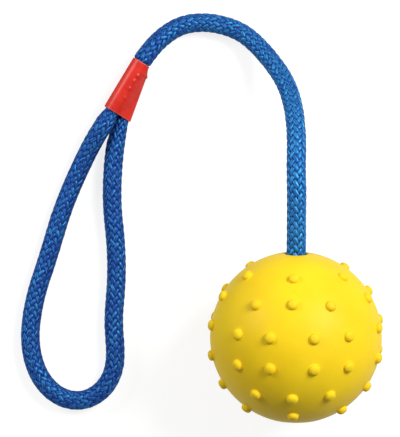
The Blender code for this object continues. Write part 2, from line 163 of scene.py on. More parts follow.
def mm(size, digits=1):
    """A size in metres as millimetres, to print."""
    return round(1000 * size, digits)


print("the knot's middle is", mm(-KNOT_MIDDLE), "mm behind the ball's, its line has",
      len(knot_line()), "points")

# %% [markdown]
# The free rope lies in soft curves that nobody could write as a formula. A simulation could drop a
# rope on a floor, but it would never land in the same curve as the toy's. So its points are listed,
# as the frame has them: one list from the ball to the sleeve, one round the hand loop.

# %% The free rope's points
LEAD_ROUTE = (
    (0.0182, 0.0250, 0.0380), (0.0184, 0.0328, 0.0348), (0.0182, 0.0404, 0.0295),
    (0.0172, 0.0480, 0.0230), (0.0148, 0.0554, 0.0165), (0.0108, 0.0621, 0.0110),
    (0.0059, 0.0682, 0.0070), (0.0002, 0.0732, 0.0046), (-0.0070, 0.0762, 0.0037),
    (-0.0146, 0.0772, 0.0036), (-0.0222, 0.0758, 0.0043), (-0.0286, 0.0717, 0.0062),
    (-0.0330, 0.0670, 0.0083),
)
LOOP_ROUTE = (
    (-0.0483, 0.0426, 0.0071), (-0.0500, 0.0399, 0.0074), (-0.0531, 0.0349, 0.0065),
    (-0.0570, 0.0276, 0.0045), (-0.0605, 0.0201, 0.0037), (-0.0637, 0.0124, 0.0036),
    (-0.0664, 0.0046, 0.0036), (-0.0688, -0.0034, 0.0036), (-0.0713, -0.0113, 0.0036),
    (-0.0738, -0.0192, 0.0036), (-0.0756, -0.0272, 0.0036), (-0.0764, -0.0354, 0.0036),
    (-0.0755, -0.0437, 0.0036), (-0.0723, -0.0514, 0.0036), (-0.0664, -0.0572, 0.0036),
    (-0.0587, -0.0591, 0.0036), (-0.0510, -0.0557, 0.0036), (-0.0467, -0.0489, 0.0036),
    (-0.0458, -0.0406, 0.0036), (-0.0463, -0.0324, 0.0036), (-0.0460, -0.0241, 0.0036),
    (-0.0454, -0.0158, 0.0036), (-0.0454, -0.0075, 0.0036), (-0.0459, 0.0007, 0.0036),
    (-0.0467, 0.0090, 0.0036), (-0.0469, 0.0173, 0.0036), (-0.0465, 0.0256, 0.0036),
    (-0.0455, 0.0338, 0.0036), (-0.0442, 0.0393, 0.0036),
)

print("points chosen by hand:", len(LEAD_ROUTE), "for the lead,", len(LOOP_ROUTE), "for the loop")

# %% [markdown]
# Inside the sleeve the running leg rides on the cut end's leg. Both places come from the same small
# sums as in the frame, so that the two legs touch and never cut into each other: the lower leg lies
# on the film, and the upper one sits one rope's width away, higher where they lie one over the
# other, lower where they fan out side by side.

# %% The two legs in the sleeve
GRIPPED_RADIUS = 0.0027
SLEEVE_PLACE = (-0.0362, 0.0625)
SLEEVE_HEADING = math.radians(238.7)
SLEEVE_LENGTH = 0.0203
SLEEVE_WALL = 0.00035
CUT_END_SET_BACK = 0.0030
CUT_END_OFFSET = 0.0007
LEG_FAN_OUT = 0.0041

SLEEVE_ALONG = Vector((math.cos(SLEEVE_HEADING), math.sin(SLEEVE_HEADING), 0.0))
SLEEVE_RIGHT = Vector((-SLEEVE_ALONG.y, SLEEVE_ALONG.x, 0.0))
LOW_LEG_HEIGHT = SLEEVE_WALL + CLEARANCE + GRIPPED_RADIUS


def in_sleeve(down, right, height):
    """A place in the scene from a distance down the sleeve, an offset to its right and a height."""
    return Vector((*SLEEVE_PLACE, height)) + SLEEVE_ALONG * down + SLEEVE_RIGHT * right


def leg_offset(down):
    """How far the cut end's leg lies to the right of the running leg."""
    share = (down - CUT_END_SET_BACK) / (SLEEVE_LENGTH - CUT_END_SET_BACK)
    return CUT_END_OFFSET + (LEG_FAN_OUT - CUT_END_OFFSET) * share


def high_leg_height(down):
    """Height of the running leg, which rides on the cut end's leg."""
    spacing = 2 * GRIPPED_RADIUS + CLEARANCE
    return LOW_LEG_HEIGHT + math.sqrt(spacing ** 2 - leg_offset(down) ** 2)


def running_leg(down):
    """Middle of the running leg."""
    return in_sleeve(down, 0.0, high_leg_height(down))


def cut_leg(down):
    """Middle of the cut end's leg."""
    return in_sleeve(down, leg_offset(down), LOW_LEG_HEIGHT)


for down in (CUT_END_SET_BACK, SLEEVE_LENGTH):
    print(mm(down), "mm down the sleeve the legs are", mm(high_leg_height(down)), "and",
          mm(LOW_LEG_HEIGHT), "mm up and", mm(leg_offset(down)), "mm apart sideways")

# %% [markdown]
# All stretches go into one smooth curve. It could be drawn with Bezier handles, but a natural cubic
# spline needs no handles: it goes through every point and bends as little as it can, as a limp
# rope does. It is worked out as many short straight steps, with the distance along it at each.

# %% A smooth line through points
SPAN_STEPS = 24


def distances(points):
    """How far along a line of points each of them lies."""
    return np.concatenate([[0.0], np.cumsum(np.linalg.norm(np.diff(points, axis=0), axis=1))])


def smooth_line(points):
    """Fine points on the natural cubic spline through the points, and their distances along it."""
    points = np.array(points, dtype=float)
    spans = np.linalg.norm(np.diff(points, axis=0), axis=1)
    slopes = np.diff(points, axis=0) / spans[:, None]
    rows = np.eye(len(points))
    sides = np.zeros((len(points), 3))
    for i in range(1, len(points) - 1):
        rows[i, i - 1:i + 2] = spans[i - 1], 2 * (spans[i - 1] + spans[i]), spans[i]
        sides[i] = 6 * (slopes[i] - slopes[i - 1])
    bends = np.linalg.solve(rows, sides)
    fine = [points[0]]
    for i, span in enumerate(spans):
        for t in np.linspace(0.0, 1.0, SPAN_STEPS + 1)[1:]:
            a = 1.0 - t
            bent = (a ** 3 - a) * bends[i] + (t ** 3 - t) * bends[i + 1]
            fine.append(a * points[i] + t * points[i + 1] + bent * span ** 2 / 6)
    fine = np.array(fine)
    return fine, distances(fine)


print("each span of the rope's line has", SPAN_STEPS, "steps")

# %% [markdown]
# A pattern that is laid round the rope needs to know, at each point, which way is across the rope.
# If that were worked out from the bend at each point, it would jump where the rope changes its
# bend. It is carried along instead, with as little turning as possible, and only a twist that is
# asked for is added.

# %% Directions carried along a line
def unit(rows):
    """Rows of vectors made one long."""
    return rows / np.linalg.norm(rows, axis=1, keepdims=True)


def carried_directions(fine, twist=0.0):
    """Directions along the line, across it and beside it, carried from end to end, then twisted."""
    ahead = unit(np.gradient(fine, axis=0))
    across = np.zeros_like(fine)
    across[0] = Vector(ahead[0]).orthogonal().normalized()
    for i in range(1, len(fine)):
        kept = across[i - 1] - ahead[i] * (across[i - 1] @ ahead[i])
        across[i] = kept / np.linalg.norm(kept)
    beside = np.cross(ahead, across)
    turn = np.reshape(twist, (-1, 1))
    across, beside = (across * np.cos(turn) + beside * np.sin(turn),
                      beside * np.cos(turn) - across * np.sin(turn))
    return ahead, across, beside


level_line = np.array([(0.0, 0.0, 0.0), (1.0, 0.0, 0.0)])
for way, rows in zip(("ahead", "across", "beside"), carried_directions(level_line)):
    print("a line along X,", way + ":", rows[0])

# %% [markdown]
# Every piece of the rope is cut from one line, so the braid runs on unbroken from piece to piece,
# as it does on the real rope. From the knot to the sleeve the rope is rolled a little about its own
# line, so that its stitches lie as they do on the toy. The roll runs out inside the sleeve, where
# it can't be seen, and the hand loop has none.

# %% One line for the whole rope
ROPE_ROLL = math.radians(-20.0)
TAIL_POINTS = 4
STRAIGHT_POINTS = 5
RUNNING_LEG_POINTS = 5
CUT_LEG_POINTS = 4
rope_points = []
end_index = {}


def lay(stretch, points):
    """Adds a stretch of the rope's line and notes the point that it ends at."""
    rope_points.extend(tuple(point) for point in points)
    end_index[stretch] = len(rope_points) - 1


running_places = np.linspace(0.0, SLEEVE_LENGTH, RUNNING_LEG_POINTS + 1)[1:]
cut_places = np.linspace(SLEEVE_LENGTH, CUT_END_SET_BACK, CUT_LEG_POINTS + 1)[1:]

lay("knot", knot_line())
lay("tail", bore_line(KNOT_END, TAIL_END, TAIL_POINTS))
lay("straight", bore_line(TAIL_END, STRAIGHT_END, STRAIGHT_POINTS))
lay("lead", [*LEAD_ROUTE, running_leg(0.0)])
lay("running_leg", [running_leg(down) for down in running_places])
lay("loop", [*LOOP_ROUTE, cut_leg(SLEEVE_LENGTH)])
lay("cut_leg", [cut_leg(down) for down in cut_places])

ROPE_LINE, ROPE_ALONG = smooth_line(rope_points)
END_PLACE = {name: ROPE_ALONG[index * SPAN_STEPS] for name, index in end_index.items()}
roll_left = np.clip((END_PLACE["running_leg"] - ROPE_ALONG) / SLEEVE_LENGTH, 0.0, 1.0)
ROPE_AHEAD, ROPE_ACROSS, ROPE_BESIDE = carried_directions(ROPE_LINE, ROPE_ROLL * roll_left)
for name, place in END_PLACE.items():
    print("the", name, "ends", mm(place), "mm along the rope")

# %% [markdown]
# A braided rope is pulled thin where it is gripped, in the knot and under the shrunk film, and
# swells back to its full girth where it lies free. A straight taper would show a kink at each end,
# so the girth steps softly from one value to the next. It is kept as a share of the full radius,
# along the same line.

# %% How thick the rope is along its length
BALL_SWELL = 0.0030
SLEEVE_SWELL = 0.0009
RUNNING_SWELL = 0.0050
CUT_SWELL = 0.0120


def soft_steps(places, marks, values):
    """Values that step softly from mark to mark."""
    marks = np.array(marks)
    values = np.array(values)
    row = np.clip(np.searchsorted(marks, places, side="right") - 1, 0, len(marks) - 2)
    share = np.clip((places - marks[row]) / (marks[row + 1] - marks[row]), 0.0, 1.0)
    return values[row] + (values[row + 1] - values[row]) * share * share * (3 - 2 * share)


def rope_girth(places):
    """The rope's radius as a share of its full radius, at distances along the rope."""
    tied = KNOT_ROPE_RADIUS / ROPE_RADIUS
    gripped = GRIPPED_RADIUS / ROPE_RADIUS
    steps = (
        (0.0, tied),
        (END_PLACE["knot"], tied),
        (END_PLACE["knot"] + BALL_SWELL, 1.0),
        (END_PLACE["lead"] - SLEEVE_SWELL, 1.0),
        (END_PLACE["lead"], gripped),
        (END_PLACE["running_leg"], gripped),
        (END_PLACE["running_leg"] + RUNNING_SWELL, 1.0),
        (END_PLACE["loop"] - CUT_SWELL, 1.0),
        (END_PLACE["loop"], gripped),
        (END_PLACE["cut_leg"], gripped),
    )
    marks, values = zip(*steps)
    return soft_steps(places, marks, values)


for where, radius in (("free", ROPE_RADIUS), ("in the sleeve", GRIPPED_RADIUS),
                      ("in the knot", KNOT_ROPE_RADIUS)):
    print("the rope", where, "is", mm(2 * radius), "mm thick")

# %% [markdown]
# Node trees do the repeating work, both as Geometry Nodes and in the materials. They could be wired
# by hand in Blender's editor, but a script keeps them readable and exact. These helpers keep the
# wiring short: one adds a node with its settings and inputs, one does arithmetic, one reads a
# stored attribute and one stores it.

# %% Helpers for node trees
def feed(tree, socket, value):
    """Links a socket to another one, or sets its own value."""
    if isinstance(value, bpy.types.NodeSocket):
        tree.links.new(value, socket)
    else:
        socket.default_value = value


def fill_in(tree, node, **values):
    """Feeds a node's inputs by name, with an underscore for a space."""
    for key, value in values.items():
        feed(tree, node.inputs[key.replace("_", " ")], value)
    return node


def add(tree, kind, settings=None, **values):
    """One node with its settings and its inputs."""
    node = tree.nodes.new(kind)
    for key, value in (settings or {}).items():
        setattr(node, key, value)
    return fill_in(tree, node, **values)


def work_out(tree, operation, *values, kind="ShaderNodeMath"):
    """Arithmetic on numbers or sockets."""
    node = add(tree, kind, {"operation": operation})
    for socket, value in zip(node.inputs, values):
        feed(tree, socket, value)
    return node.outputs[0]


def scaled(tree, vector, size):
    """A vector made longer or shorter."""
    node = add(tree, "ShaderNodeVectorMath", {"operation": "SCALE"}, Scale=size)
    feed(tree, node.inputs[0], vector)
    return node.outputs[0]


def stored(tree, name, kind="FLOAT"):
    """A named attribute of the geometry."""
    return add(tree, "GeometryNodeInputNamedAttribute", {"data_type": kind}, Name=name).outputs[0]


def store(tree, geometry, name, value, kind="FLOAT"):
    """The geometry with one more named attribute."""
    settings = {"data_type": kind, "domain": "POINT"}
    return add(tree, "GeometryNodeStoreNamedAttribute", settings,
               Geometry=geometry, Name=name, Value=value).outputs[0]


print("helpers for node trees are ready")

# %% [markdown]
# A tree starts with its named sizes and ends with real geometry: copies that only stand for a mesh
# are made real, the shading is smooth and the material is set. To keep the result, the tree runs
# as a modifier on a seed mesh, the evaluated mesh is copied, and the seed goes. What is left is a
# plain mesh that any program can read.

# %% Helpers that grow a mesh from a tree
def start_tree(name, sizes):
    """A Geometry Nodes tree with named inputs, and its input sockets by name."""
    tree = bpy.data.node_groups.new(name, "GeometryNodeTree")
    tree.interface.new_socket("Geometry", in_out="INPUT", socket_type="NodeSocketGeometry")
    for label, kind, value in sizes:
        socket = tree.interface.new_socket(label, in_out="INPUT", socket_type="NodeSocket" + kind)
        if value is not None:
            socket.default_value = value
    tree.interface.new_socket("Geometry", in_out="OUTPUT", socket_type="NodeSocketGeometry")
    entry = tree.nodes.new("NodeGroupInput")
    return tree, {socket.name: socket for socket in entry.outputs if socket.name}


def join(tree, *geometries):
    """Several geometries as one."""
    node = tree.nodes.new("GeometryNodeJoinGeometry")
    for geometry in geometries:
        tree.links.new(geometry, node.inputs[0])
    return node.outputs[0]


def end_tree(tree, geometry, material):
    """Ends a tree with real, smooth geometry that has its material."""
    real = add(tree, "GeometryNodeRealizeInstances", Geometry=geometry).outputs[0]
    smooth = add(tree, "GeometryNodeSetShadeSmooth", Geometry=real).outputs[0]
    done = add(tree, "GeometryNodeSetMaterial", Geometry=smooth, Material=material).outputs[0]
    tree.links.new(done, tree.nodes.new("NodeGroupOutput").inputs[0])


def put_in_scene(name, data):
    """A mesh as an object at the origin."""
    thing = bpy.data.objects.new(name, data)
    bpy.context.scene.collection.objects.link(thing)
    return thing


def grow(name, data, tree, values):
    """Runs a tree on a mesh and keeps the result as a plain mesh object."""
    seed = put_in_scene(name + "_seed", data)
    modifier = seed.modifiers.new(tree.name, "NODES")
    modifier.node_group = tree
    for item in tree.interface.items_tree:
        if item.in_out == "INPUT" and item.name in values:
            modifier[item.identifier] = values[item.name]
    graph = bpy.context.evaluated_depsgraph_get()
    made = bpy.data.meshes.new_from_object(seed.evaluated_get(graph), depsgraph=graph)
    made.name = name
    bpy.data.objects.remove(seed, do_unlink=True)
    triangles = sum(len(polygon.vertices) - 2 for polygon in made.polygons)
    print(name + ":", triangles, "triangles")
    return put_in_scene(name, made)


print("helpers that grow a mesh are ready")

# %% [markdown]
# Both the braid and the sewing thread are strands that wind round a line. One strand is a curve, so
# a tree copies the line once for each strand, moves each copy out from the line at an angle that
# grows along it, and sweeps a ring along the moved curve. These helpers do those three things.

# %% Helpers for what winds round a line
def copied_line(tree, mesh, count):
    """A mesh line as a curve, copies of it, and each copy's number."""
    line = add(tree, "GeometryNodeMeshToCurve", Mesh=mesh).outputs[0]
    copies = add(tree, "GeometryNodeDuplicateElements", {"domain": "SPLINE"},
                 Geometry=line, Amount=count)
    return line, copies.outputs[0], copies.outputs[1]


def way_out(tree, angle):
    """The direction out from the line, at an angle round it."""
    across = scaled(tree, stored(tree, "across", "FLOAT_VECTOR"), work_out(tree, "COSINE", angle))
    beside = scaled(tree, stored(tree, "beside", "FLOAT_VECTOR"), work_out(tree, "SINE", angle))
    return work_out(tree, "ADD", across, beside, kind="ShaderNodeVectorMath")


def round_ring(tree, points, radius):
    """A ring of points on a circle."""
    return add(tree, "GeometryNodeCurvePrimitiveCircle",
               Resolution=points, Radius=radius).outputs[0]


def sweep(tree, curve, ring, **size):
    """A ring swept along a curve, with both ends closed."""
    return add(tree, "GeometryNodeCurveToMesh", Curve=curve, Profile_Curve=ring,
               Fill_Caps=True, **size).outputs[0]


print("helpers for wound strands are ready")

# %% [markdown]
# The rope is a tubular braid of twenty-four flat strands, twelve winding each way. The strands
# could be painted on a smooth tube, but real ones give the bumpy outline and stitches that catch
# the light. The braid's sizes hang together: the number of strands and the pitch of the stitches
# give the lean of a strand, and the lean gives the room that it has for its width.

# %% The braid's sizes
STRANDS_EACH_WAY = 12
STRANDS_CROSSED = 2
STITCH_PITCH = 0.00275
STRAND_FILL = 1.08

strand_lean = math.atan(2 * math.pi * ROPE_RADIUS / STRANDS_EACH_WAY / STITCH_PITCH)
strand_spacing = STITCH_PITCH * math.sin(strand_lean)

BRAID_SIZES = (
    ("Strands each way", "Int", STRANDS_EACH_WAY),
    ("Strands crossed at once", "Int", STRANDS_CROSSED),
    ("Rope radius", "Float", ROPE_RADIUS),
    ("Stitch pitch", "Float", STITCH_PITCH),
    ("Strand width", "Float", strand_spacing * STRAND_FILL),
    ("Strand thickness", "Float", 0.00090),
    ("Strand flatness", "Float", 0.30),
    ("Weave height", "Float", 0.00048),
    ("Weave softness", "Float", 0.6),
    ("Unevenness", "Float", 0.00012),
    ("Core radius", "Float", 0.0021),
    ("Material", "Material", None),
)
print("the strands lean by", round(math.degrees(strand_lean)), "degrees and are",
      mm(strand_spacing * STRAND_FILL, 2), "mm wide")

# %% [markdown]
# Each strand goes over two others and then under two, which gives the little V shapes that run
# along the rope. So its height follows a wave of its angle round the rope. Strands that cross share
# the wave but with opposite signs, so one is always up where the other is down. A plain wave would
# swing like a spring; a softened one stays up or down for longer and changes over quickly, as a
# pulled strand does. A little noise makes some strands stand out more than others.

# %% How the strands weave
UNEVEN_SCALE = 0.6
UNEVEN_STRIDE = 7.7


def weave_lift(tree, given, way, angle):
    """How high a strand rides, from -1 under the others to 1 over them."""
    each_way, crossed = given["Strands each way"], given["Strands crossed at once"]
    beat = work_out(tree, "DIVIDE", work_out(tree, "MULTIPLY", angle, each_way), crossed)
    shift = work_out(tree, "SUBTRACT", work_out(tree, "DIVIDE", math.pi / 2, crossed), math.pi / 2)
    wave = work_out(tree, "COSINE", work_out(tree, "ADD", beat, shift))
    squared = work_out(tree, "MULTIPLY", wave, wave)
    softness = given["Weave softness"]
    rounding = work_out(tree, "SQRT", work_out(tree, "MULTIPLY_ADD", softness, softness, squared))
    return work_out(tree, "MULTIPLY", way, work_out(tree, "DIVIDE", wave, rounding))


def uneven_height(tree, given, pitches, number):
    """Soft noise along each strand, as a small height up or down."""
    row = work_out(tree, "MULTIPLY", number, UNEVEN_STRIDE)
    spot = add(tree, "ShaderNodeCombineXYZ", X=pitches, Y=row).outputs[0]
    noise = add(tree, "ShaderNodeTexNoise", {"noise_dimensions": "3D"},
                Vector=spot, Scale=UNEVEN_SCALE, Detail=1.0).outputs[0]
    swing = work_out(tree, "MULTIPLY", work_out(tree, "SUBTRACT", noise, 0.5), 2.0)
    return work_out(tree, "MULTIPLY", swing, given["Unevenness"])


print("each strand goes over and under", STRANDS_CROSSED, "others")

# %% [markdown]
# A strand is a flat bundle of fibres with rounded sides, not a round cord. Its cross-section starts
# as a ring of points, which is moved into a wide, flat shape: a power of the cosine presses the top
# and the bottom flat. A box with rounded corners would do as well, but needs more points. The ring
# keeps where each of its points lies round the strand, for the material to read.

# %% A flat strand's cross-section
STRAND_POINTS = 8


def strand_ring(tree, given, half_strand):
    """The flat ring that is swept along each strand."""
    share = add(tree, "GeometryNodeSplineParameter").outputs["Factor"]
    angle = work_out(tree, "MULTIPLY", share, 2 * math.pi)
    up = work_out(tree, "COSINE", angle)
    sideways = work_out(tree, "SINE", angle)
    ring = store(tree, round_ring(tree, STRAND_POINTS, 0.5), "round_x", up)
    ring = store(tree, ring, "round_y", sideways)
    flat_up = work_out(tree, "POWER", work_out(tree, "ABSOLUTE", up), given["Strand flatness"])
    flat_up = work_out(tree, "MULTIPLY", flat_up, work_out(tree, "SIGN", up))
    half_width = work_out(tree, "DIVIDE", given["Strand width"], 2.0)
    corner = add(tree, "ShaderNodeCombineXYZ", X=work_out(tree, "MULTIPLY", flat_up, half_strand),
                 Y=work_out(tree, "MULTIPLY", sideways, half_width)).outputs[0]
    return add(tree, "GeometryNodeSetPosition", Geometry=ring, Position=corner).outputs[0]


print("a strand's cross-section has", STRAND_POINTS, "points")

# %% [markdown]
# Now the tree can be put together. The first half of the copies winds one way and the rest the
# other way. Each copy is moved out by the weave, lies with a flat side outwards and gets thinner
# where the rope is gripped. The middle could stay empty, but then light would show through the gaps
# between the strands, so a plain core fills it.

# %% The braid as a tree
CORE_POINTS = 6
CORE_LIFT = -1.5


def braid_tree():
    """Turns a line with its girth and directions into woven strands round a core."""
    tree, given = start_tree("braid", BRAID_SIZES)
    each_way = given["Strands each way"]
    both_ways = work_out(tree, "MULTIPLY", each_way, 2.0)
    line, copies, number = copied_line(tree, given["Geometry"], both_ways)
    first_half = work_out(tree, "LESS_THAN", number, each_way)
    way = work_out(tree, "SUBTRACT", work_out(tree, "MULTIPLY", first_half, 2.0), 1.0)
    pitches = work_out(tree, "DIVIDE", stored(tree, "along"), given["Stitch pitch"])
    turns = work_out(tree, "ADD", number, work_out(tree, "MULTIPLY", way, pitches))
    angle = work_out(tree, "MULTIPLY", turns, work_out(tree, "DIVIDE", 2 * math.pi, each_way))

    lift = weave_lift(tree, given, way, angle)
    weave = given["Weave height"]
    half_strand = work_out(tree, "DIVIDE", given["Strand thickness"], 2.0)
    middle = work_out(tree, "SUBTRACT", given["Rope radius"], half_strand)
    middle = work_out(tree, "SUBTRACT", middle, weave)
    middle = work_out(tree, "ADD", middle, uneven_height(tree, given, pitches, number))
    away = work_out(tree, "MULTIPLY_ADD", lift, weave, middle)
    girth = stored(tree, "girth")
    outward = way_out(tree, angle)

    marked = store(tree, copies, "lift", lift)
    marked = store(tree, marked, "strand", number)
    marked = store(tree, marked, "outward", outward, "FLOAT_VECTOR")
    offset = scaled(tree, outward, work_out(tree, "MULTIPLY", away, girth))
    wound = add(tree, "GeometryNodeSetPosition", Geometry=marked, Offset=offset).outputs[0]
    turned = add(tree, "GeometryNodeSetCurveNormal", {"mode": "FREE"},
                 Curve=wound, Normal=stored(tree, "outward", "FLOAT_VECTOR")).outputs[0]

    strands = sweep(tree, turned, strand_ring(tree, given, half_strand), Scale=girth)
    core_ring = round_ring(tree, CORE_POINTS, given["Core radius"])
    core = store(tree, sweep(tree, line, core_ring, Scale=girth), "lift", CORE_LIFT)
    end_tree(tree, join(tree, strands, core), given["Material"])
    return tree


BRAID = braid_tree()
print("the braid's tree has", len(BRAID.nodes), "nodes")

# %% [markdown]
# A material needs the same kind of helpers: a start that gives back the tree and its Principled
# shader, a blend of two colours, a ramp that moves a value softly from one range to another, noise
# and a bump. What never changes over the surface is set straight on the shader. The ranges further
# down are written in one way: the low and the high value, then what these two become. A bump is
# written as its height in metres and its strength.

# %% Helpers for materials
NOISE_MIDDLE = (0.35, 0.65)


def start_material(name, **values):
    """A material, its tree and its Principled shader with plain values set on it."""
    material = bpy.data.materials.new(name)
    material.use_nodes = True
    tree = material.node_tree
    return material, tree, fill_in(tree, tree.nodes["Principled BSDF"], **values)


def blend_colours(tree, share, *colours):
    """A colour between two others."""
    node = add(tree, "ShaderNodeMix", {"data_type": "RGBA"})
    feed(tree, node.inputs[0], share)
    for socket, colour in zip(node.inputs[6:8], colours):
        feed(tree, socket, colour if isinstance(colour, bpy.types.NodeSocket) else (*colour, 1.0))
    return node.outputs[2]


def stretch_range(tree, value, low, high, to_low=0.0, to_high=1.0):
    """A value moved from one range to another, softly, and kept inside it."""
    return add(tree, "ShaderNodeMapRange", {"interpolation_type": "SMOOTHSTEP"}, Value=value,
               From_Min=low, From_Max=high, To_Min=to_low, To_Max=to_high).outputs[0]


def attribute(tree, name):
    """A stored attribute as a number for a material."""
    return add(tree, "ShaderNodeAttribute", {"attribute_name": name}).outputs["Fac"]


def noise_at(tree, place, scale, detail=2.0):
    """Soft noise at a place."""
    return add(tree, "ShaderNodeTexNoise", Vector=place, Scale=scale, Detail=detail).outputs[0]


def object_place(tree):
    """The surface's own place, in metres."""
    return add(tree, "ShaderNodeTexCoord").outputs["Object"]


def bump(tree, height, distance, strength=1.0, under=None):
    """A normal bent by a height, over an earlier one if it is given."""
    node = add(tree, "ShaderNodeBump", Height=height, Distance=distance, Strength=strength)
    if under is not None:
        tree.links.new(under, node.inputs["Normal"])
    return node.outputs[0]


print("helpers for materials are ready")

# %% [markdown]
# The rope's yarn is shiny plastic fibre. Each flat strand is a bundle of fine fibres that run along
# it. A picture of fibres would smear where the rope bends, so the pattern reads what the braid's
# tree stored: where a point lies round its strand, how far along the rope it is, and how high its
# strand rides. Noise that is drawn out along the strand makes the fibres, and a share of metal
# gives the yarn its blue shine. The deep places between the strands and the sides of each strand
# are painted a darker colour, painted shade where the strands shade each other. The rope is painted
# brightest by the ball and darker towards the hand loop, painted shade for the light that falls off
# there, and the brighter yarns keep more of their colour there than the others.

# %% Braid material
FIBRES_ROUND = 9.0
FIBRES_ALONG = 420.0
YARNS_ROUND = 1.7
YARNS_ALONG = FIBRES_ALONG * 0.6
STRAND_STRIDE = 3.7
# The deepest colour is painted shade: it darkens the gaps between the strands and their sides.
GAP_SHADE_COLOUR = (0.012, 0.018, 0.14)
DYE_MIDDLE = (0.014, 0.070, 0.27)
DYE_BRIGHT = (0.036, 0.230, 0.48)
# The loop's colour is painted shade that darkens the rope from the ball towards the hand loop.
LOOP_SHADE_COLOUR = (0.010, 0.020, 0.17)
LOOP_SHADE_SHARE = 0.66
SHINE_COLOUR = (0.06, 0.30, 0.50, 1.0)
BRIGHT_YARNS = (0.35, 0.68)
BRIGHT_FIBRES = (0.4, 0.75, 0.0, 0.4)
SPARED_YARNS = (0.45, 0.70, 1.0, 0.45)
DEEP_TO_HIGH = (-0.3, 0.8)
UNDERSIDE_TO_CROWN = (-0.15, 0.40, 0.05, 1.0)
YARN_ROUGHNESS = (0.0, 1.0, 0.6, 0.44)
YARN_SHINE = (0.0, 0.8, 0.1, 0.62)
YARN_BUMP = (0.00010, 0.6)
FIBRE_BUMP = (0.00004, 0.7)


def braid_material():
    """Blue plastic yarn with fibres that follow each strand."""
    material, tree, shader = start_material("blue_braid", Specular_IOR_Level=0.2,
                                            Specular_Tint=SHINE_COLOUR)
    round_x = attribute(tree, "round_x")
    round_y = attribute(tree, "round_y")
    along = attribute(tree, "along")
    strand = attribute(tree, "strand")

    def streaks(around, lengthwise):
        """Noise drawn out along the strands."""
        x = work_out(tree, "MULTIPLY", round_x, around)
        x = work_out(tree, "MULTIPLY_ADD", strand, STRAND_STRIDE, x)
        y = work_out(tree, "MULTIPLY", round_y, around)
        z = work_out(tree, "MULTIPLY", along, lengthwise)
        return noise_at(tree, add(tree, "ShaderNodeCombineXYZ", X=x, Y=y, Z=z).outputs[0], 1.0)

    fibres = streaks(FIBRES_ROUND, FIBRES_ALONG)
    yarns = streaks(YARNS_ROUND, YARNS_ALONG)
    dye = blend_colours(tree, stretch_range(tree, yarns, *BRIGHT_YARNS), DYE_MIDDLE, DYE_BRIGHT)
    dye = blend_colours(tree, stretch_range(tree, fibres, *BRIGHT_FIBRES), dye, DYE_BRIGHT)
    # Painted shade: the rope gets darker from the ball towards the hand loop.
    loop_shade = stretch_range(tree, along, END_PLACE["straight"], END_PLACE["running_leg"],
                            0.0, LOOP_SHADE_SHARE)
    loop_shade = work_out(tree, "MULTIPLY", loop_shade, stretch_range(tree, yarns, *SPARED_YARNS))
    dye = blend_colours(tree, loop_shade, dye, LOOP_SHADE_COLOUR)
    # Painted shade: the gaps between the strands and the sides of each strand get the darkest
    # colour.
    depth = stretch_range(tree, attribute(tree, "lift"), *DEEP_TO_HIGH)
    crown = stretch_range(tree, round_x, *UNDERSIDE_TO_CROWN)
    raised = work_out(tree, "MULTIPLY", depth, crown)
    fill_in(tree, shader,
            Base_Color=blend_colours(tree, raised, GAP_SHADE_COLOUR, dye),
            Roughness=stretch_range(tree, raised, *YARN_ROUGHNESS),
            Metallic=stretch_range(tree, raised, *YARN_SHINE),
            Normal=bump(tree, fibres, *FIBRE_BUMP, under=bump(tree, yarns, *YARN_BUMP)))
    return material


BLUE_BRAID = braid_material()
print("the yarn's material has", len(BLUE_BRAID.node_tree.nodes), "nodes")

# %% [markdown]
# A tree can only read what its seed mesh carries. Nodes could measure each stretch of rope anew,
# but then every stretch would start its own count, and the braid would jump where two of them meet.
# So a seed is points joined in a row that carry their distance along the whole rope, their girth
# and their directions, under the names that the trees ask for.

# %% Lines that carry what the strands need
STEPS_A_PITCH = 5.5


def read_rows(places, marks, rows):
    """Rows that are known at some marks, read at other places between them."""
    return np.stack([np.interp(places, marks, column) for column in rows.T], axis=1)


def mark_points(data, name, values):
    """Stores a number or a direction on each point of a mesh."""
    values = np.asarray(values, np.float32)
    kind, field = ("FLOAT", "value") if values.ndim == 1 else ("FLOAT_VECTOR", "vector")
    data.attributes.new(name, kind, "POINT").data.foreach_set(field, values.ravel())


def line_mesh(name, points, **marks):
    """Points joined in a row as a mesh, with what the strands need stored on them."""
    data = bpy.data.meshes.new(name)
    data.from_pydata(points.tolist(), [(i, i + 1) for i in range(len(points) - 1)], [])
    for label, values in marks.items():
        mark_points(data, label, values)
    return data


def rope_stretch(name, start, end):
    """The rope's line from one distance to another."""
    count = round((end - start) / STITCH_PITCH * STEPS_A_PITCH) + 1
    places = np.linspace(start, end, count)
    return line_mesh(name, read_rows(places, ROPE_ALONG, ROPE_LINE),
                     along=places, girth=rope_girth(places),
                     across=unit(read_rows(places, ROPE_ALONG, ROPE_ACROSS)),
                     beside=unit(read_rows(places, ROPE_ALONG, ROPE_BESIDE)))


print("a seed has a point every", mm(STITCH_PITCH / STEPS_A_PITCH), "mm")

# %% [markdown]
# Each piece of rope is now one call: a stretch of the line becomes a seed, and the tree grows the
# braid on it. One long piece would be simpler, but parts of the rope move with the ball, so it is
# cut where it goes from one body or leg to the next, where the ball or the sleeve hides the cut.
# The lengths of the free lead and the hand loop are printed.

# %% Grow the rope's pieces
HIDDEN_SPLIT = 0.0010


def braid_piece(name, start, end, body, *nodes):
    """One braided piece of the rope, on its body, in place of its plain solids."""
    piece = grow(name, rope_stretch(name, start, end), BRAID, {"Material": BLUE_BRAID})
    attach(piece, body)
    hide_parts(*nodes)
    return piece


def declare_cord(piece, start, end):
    """Prints how long a free piece of rope is, from where it leaves to where it goes back in."""
    print(piece.name, "is", mm(end - start), "mm long")


lead_start = END_PLACE["tail"] + CLEARANCE
lead_end = END_PLACE["lead"] + HIDDEN_SPLIT
loop_start = END_PLACE["running_leg"] - HIDDEN_SPLIT
loop_end = END_PLACE["loop"] + HIDDEN_SPLIT

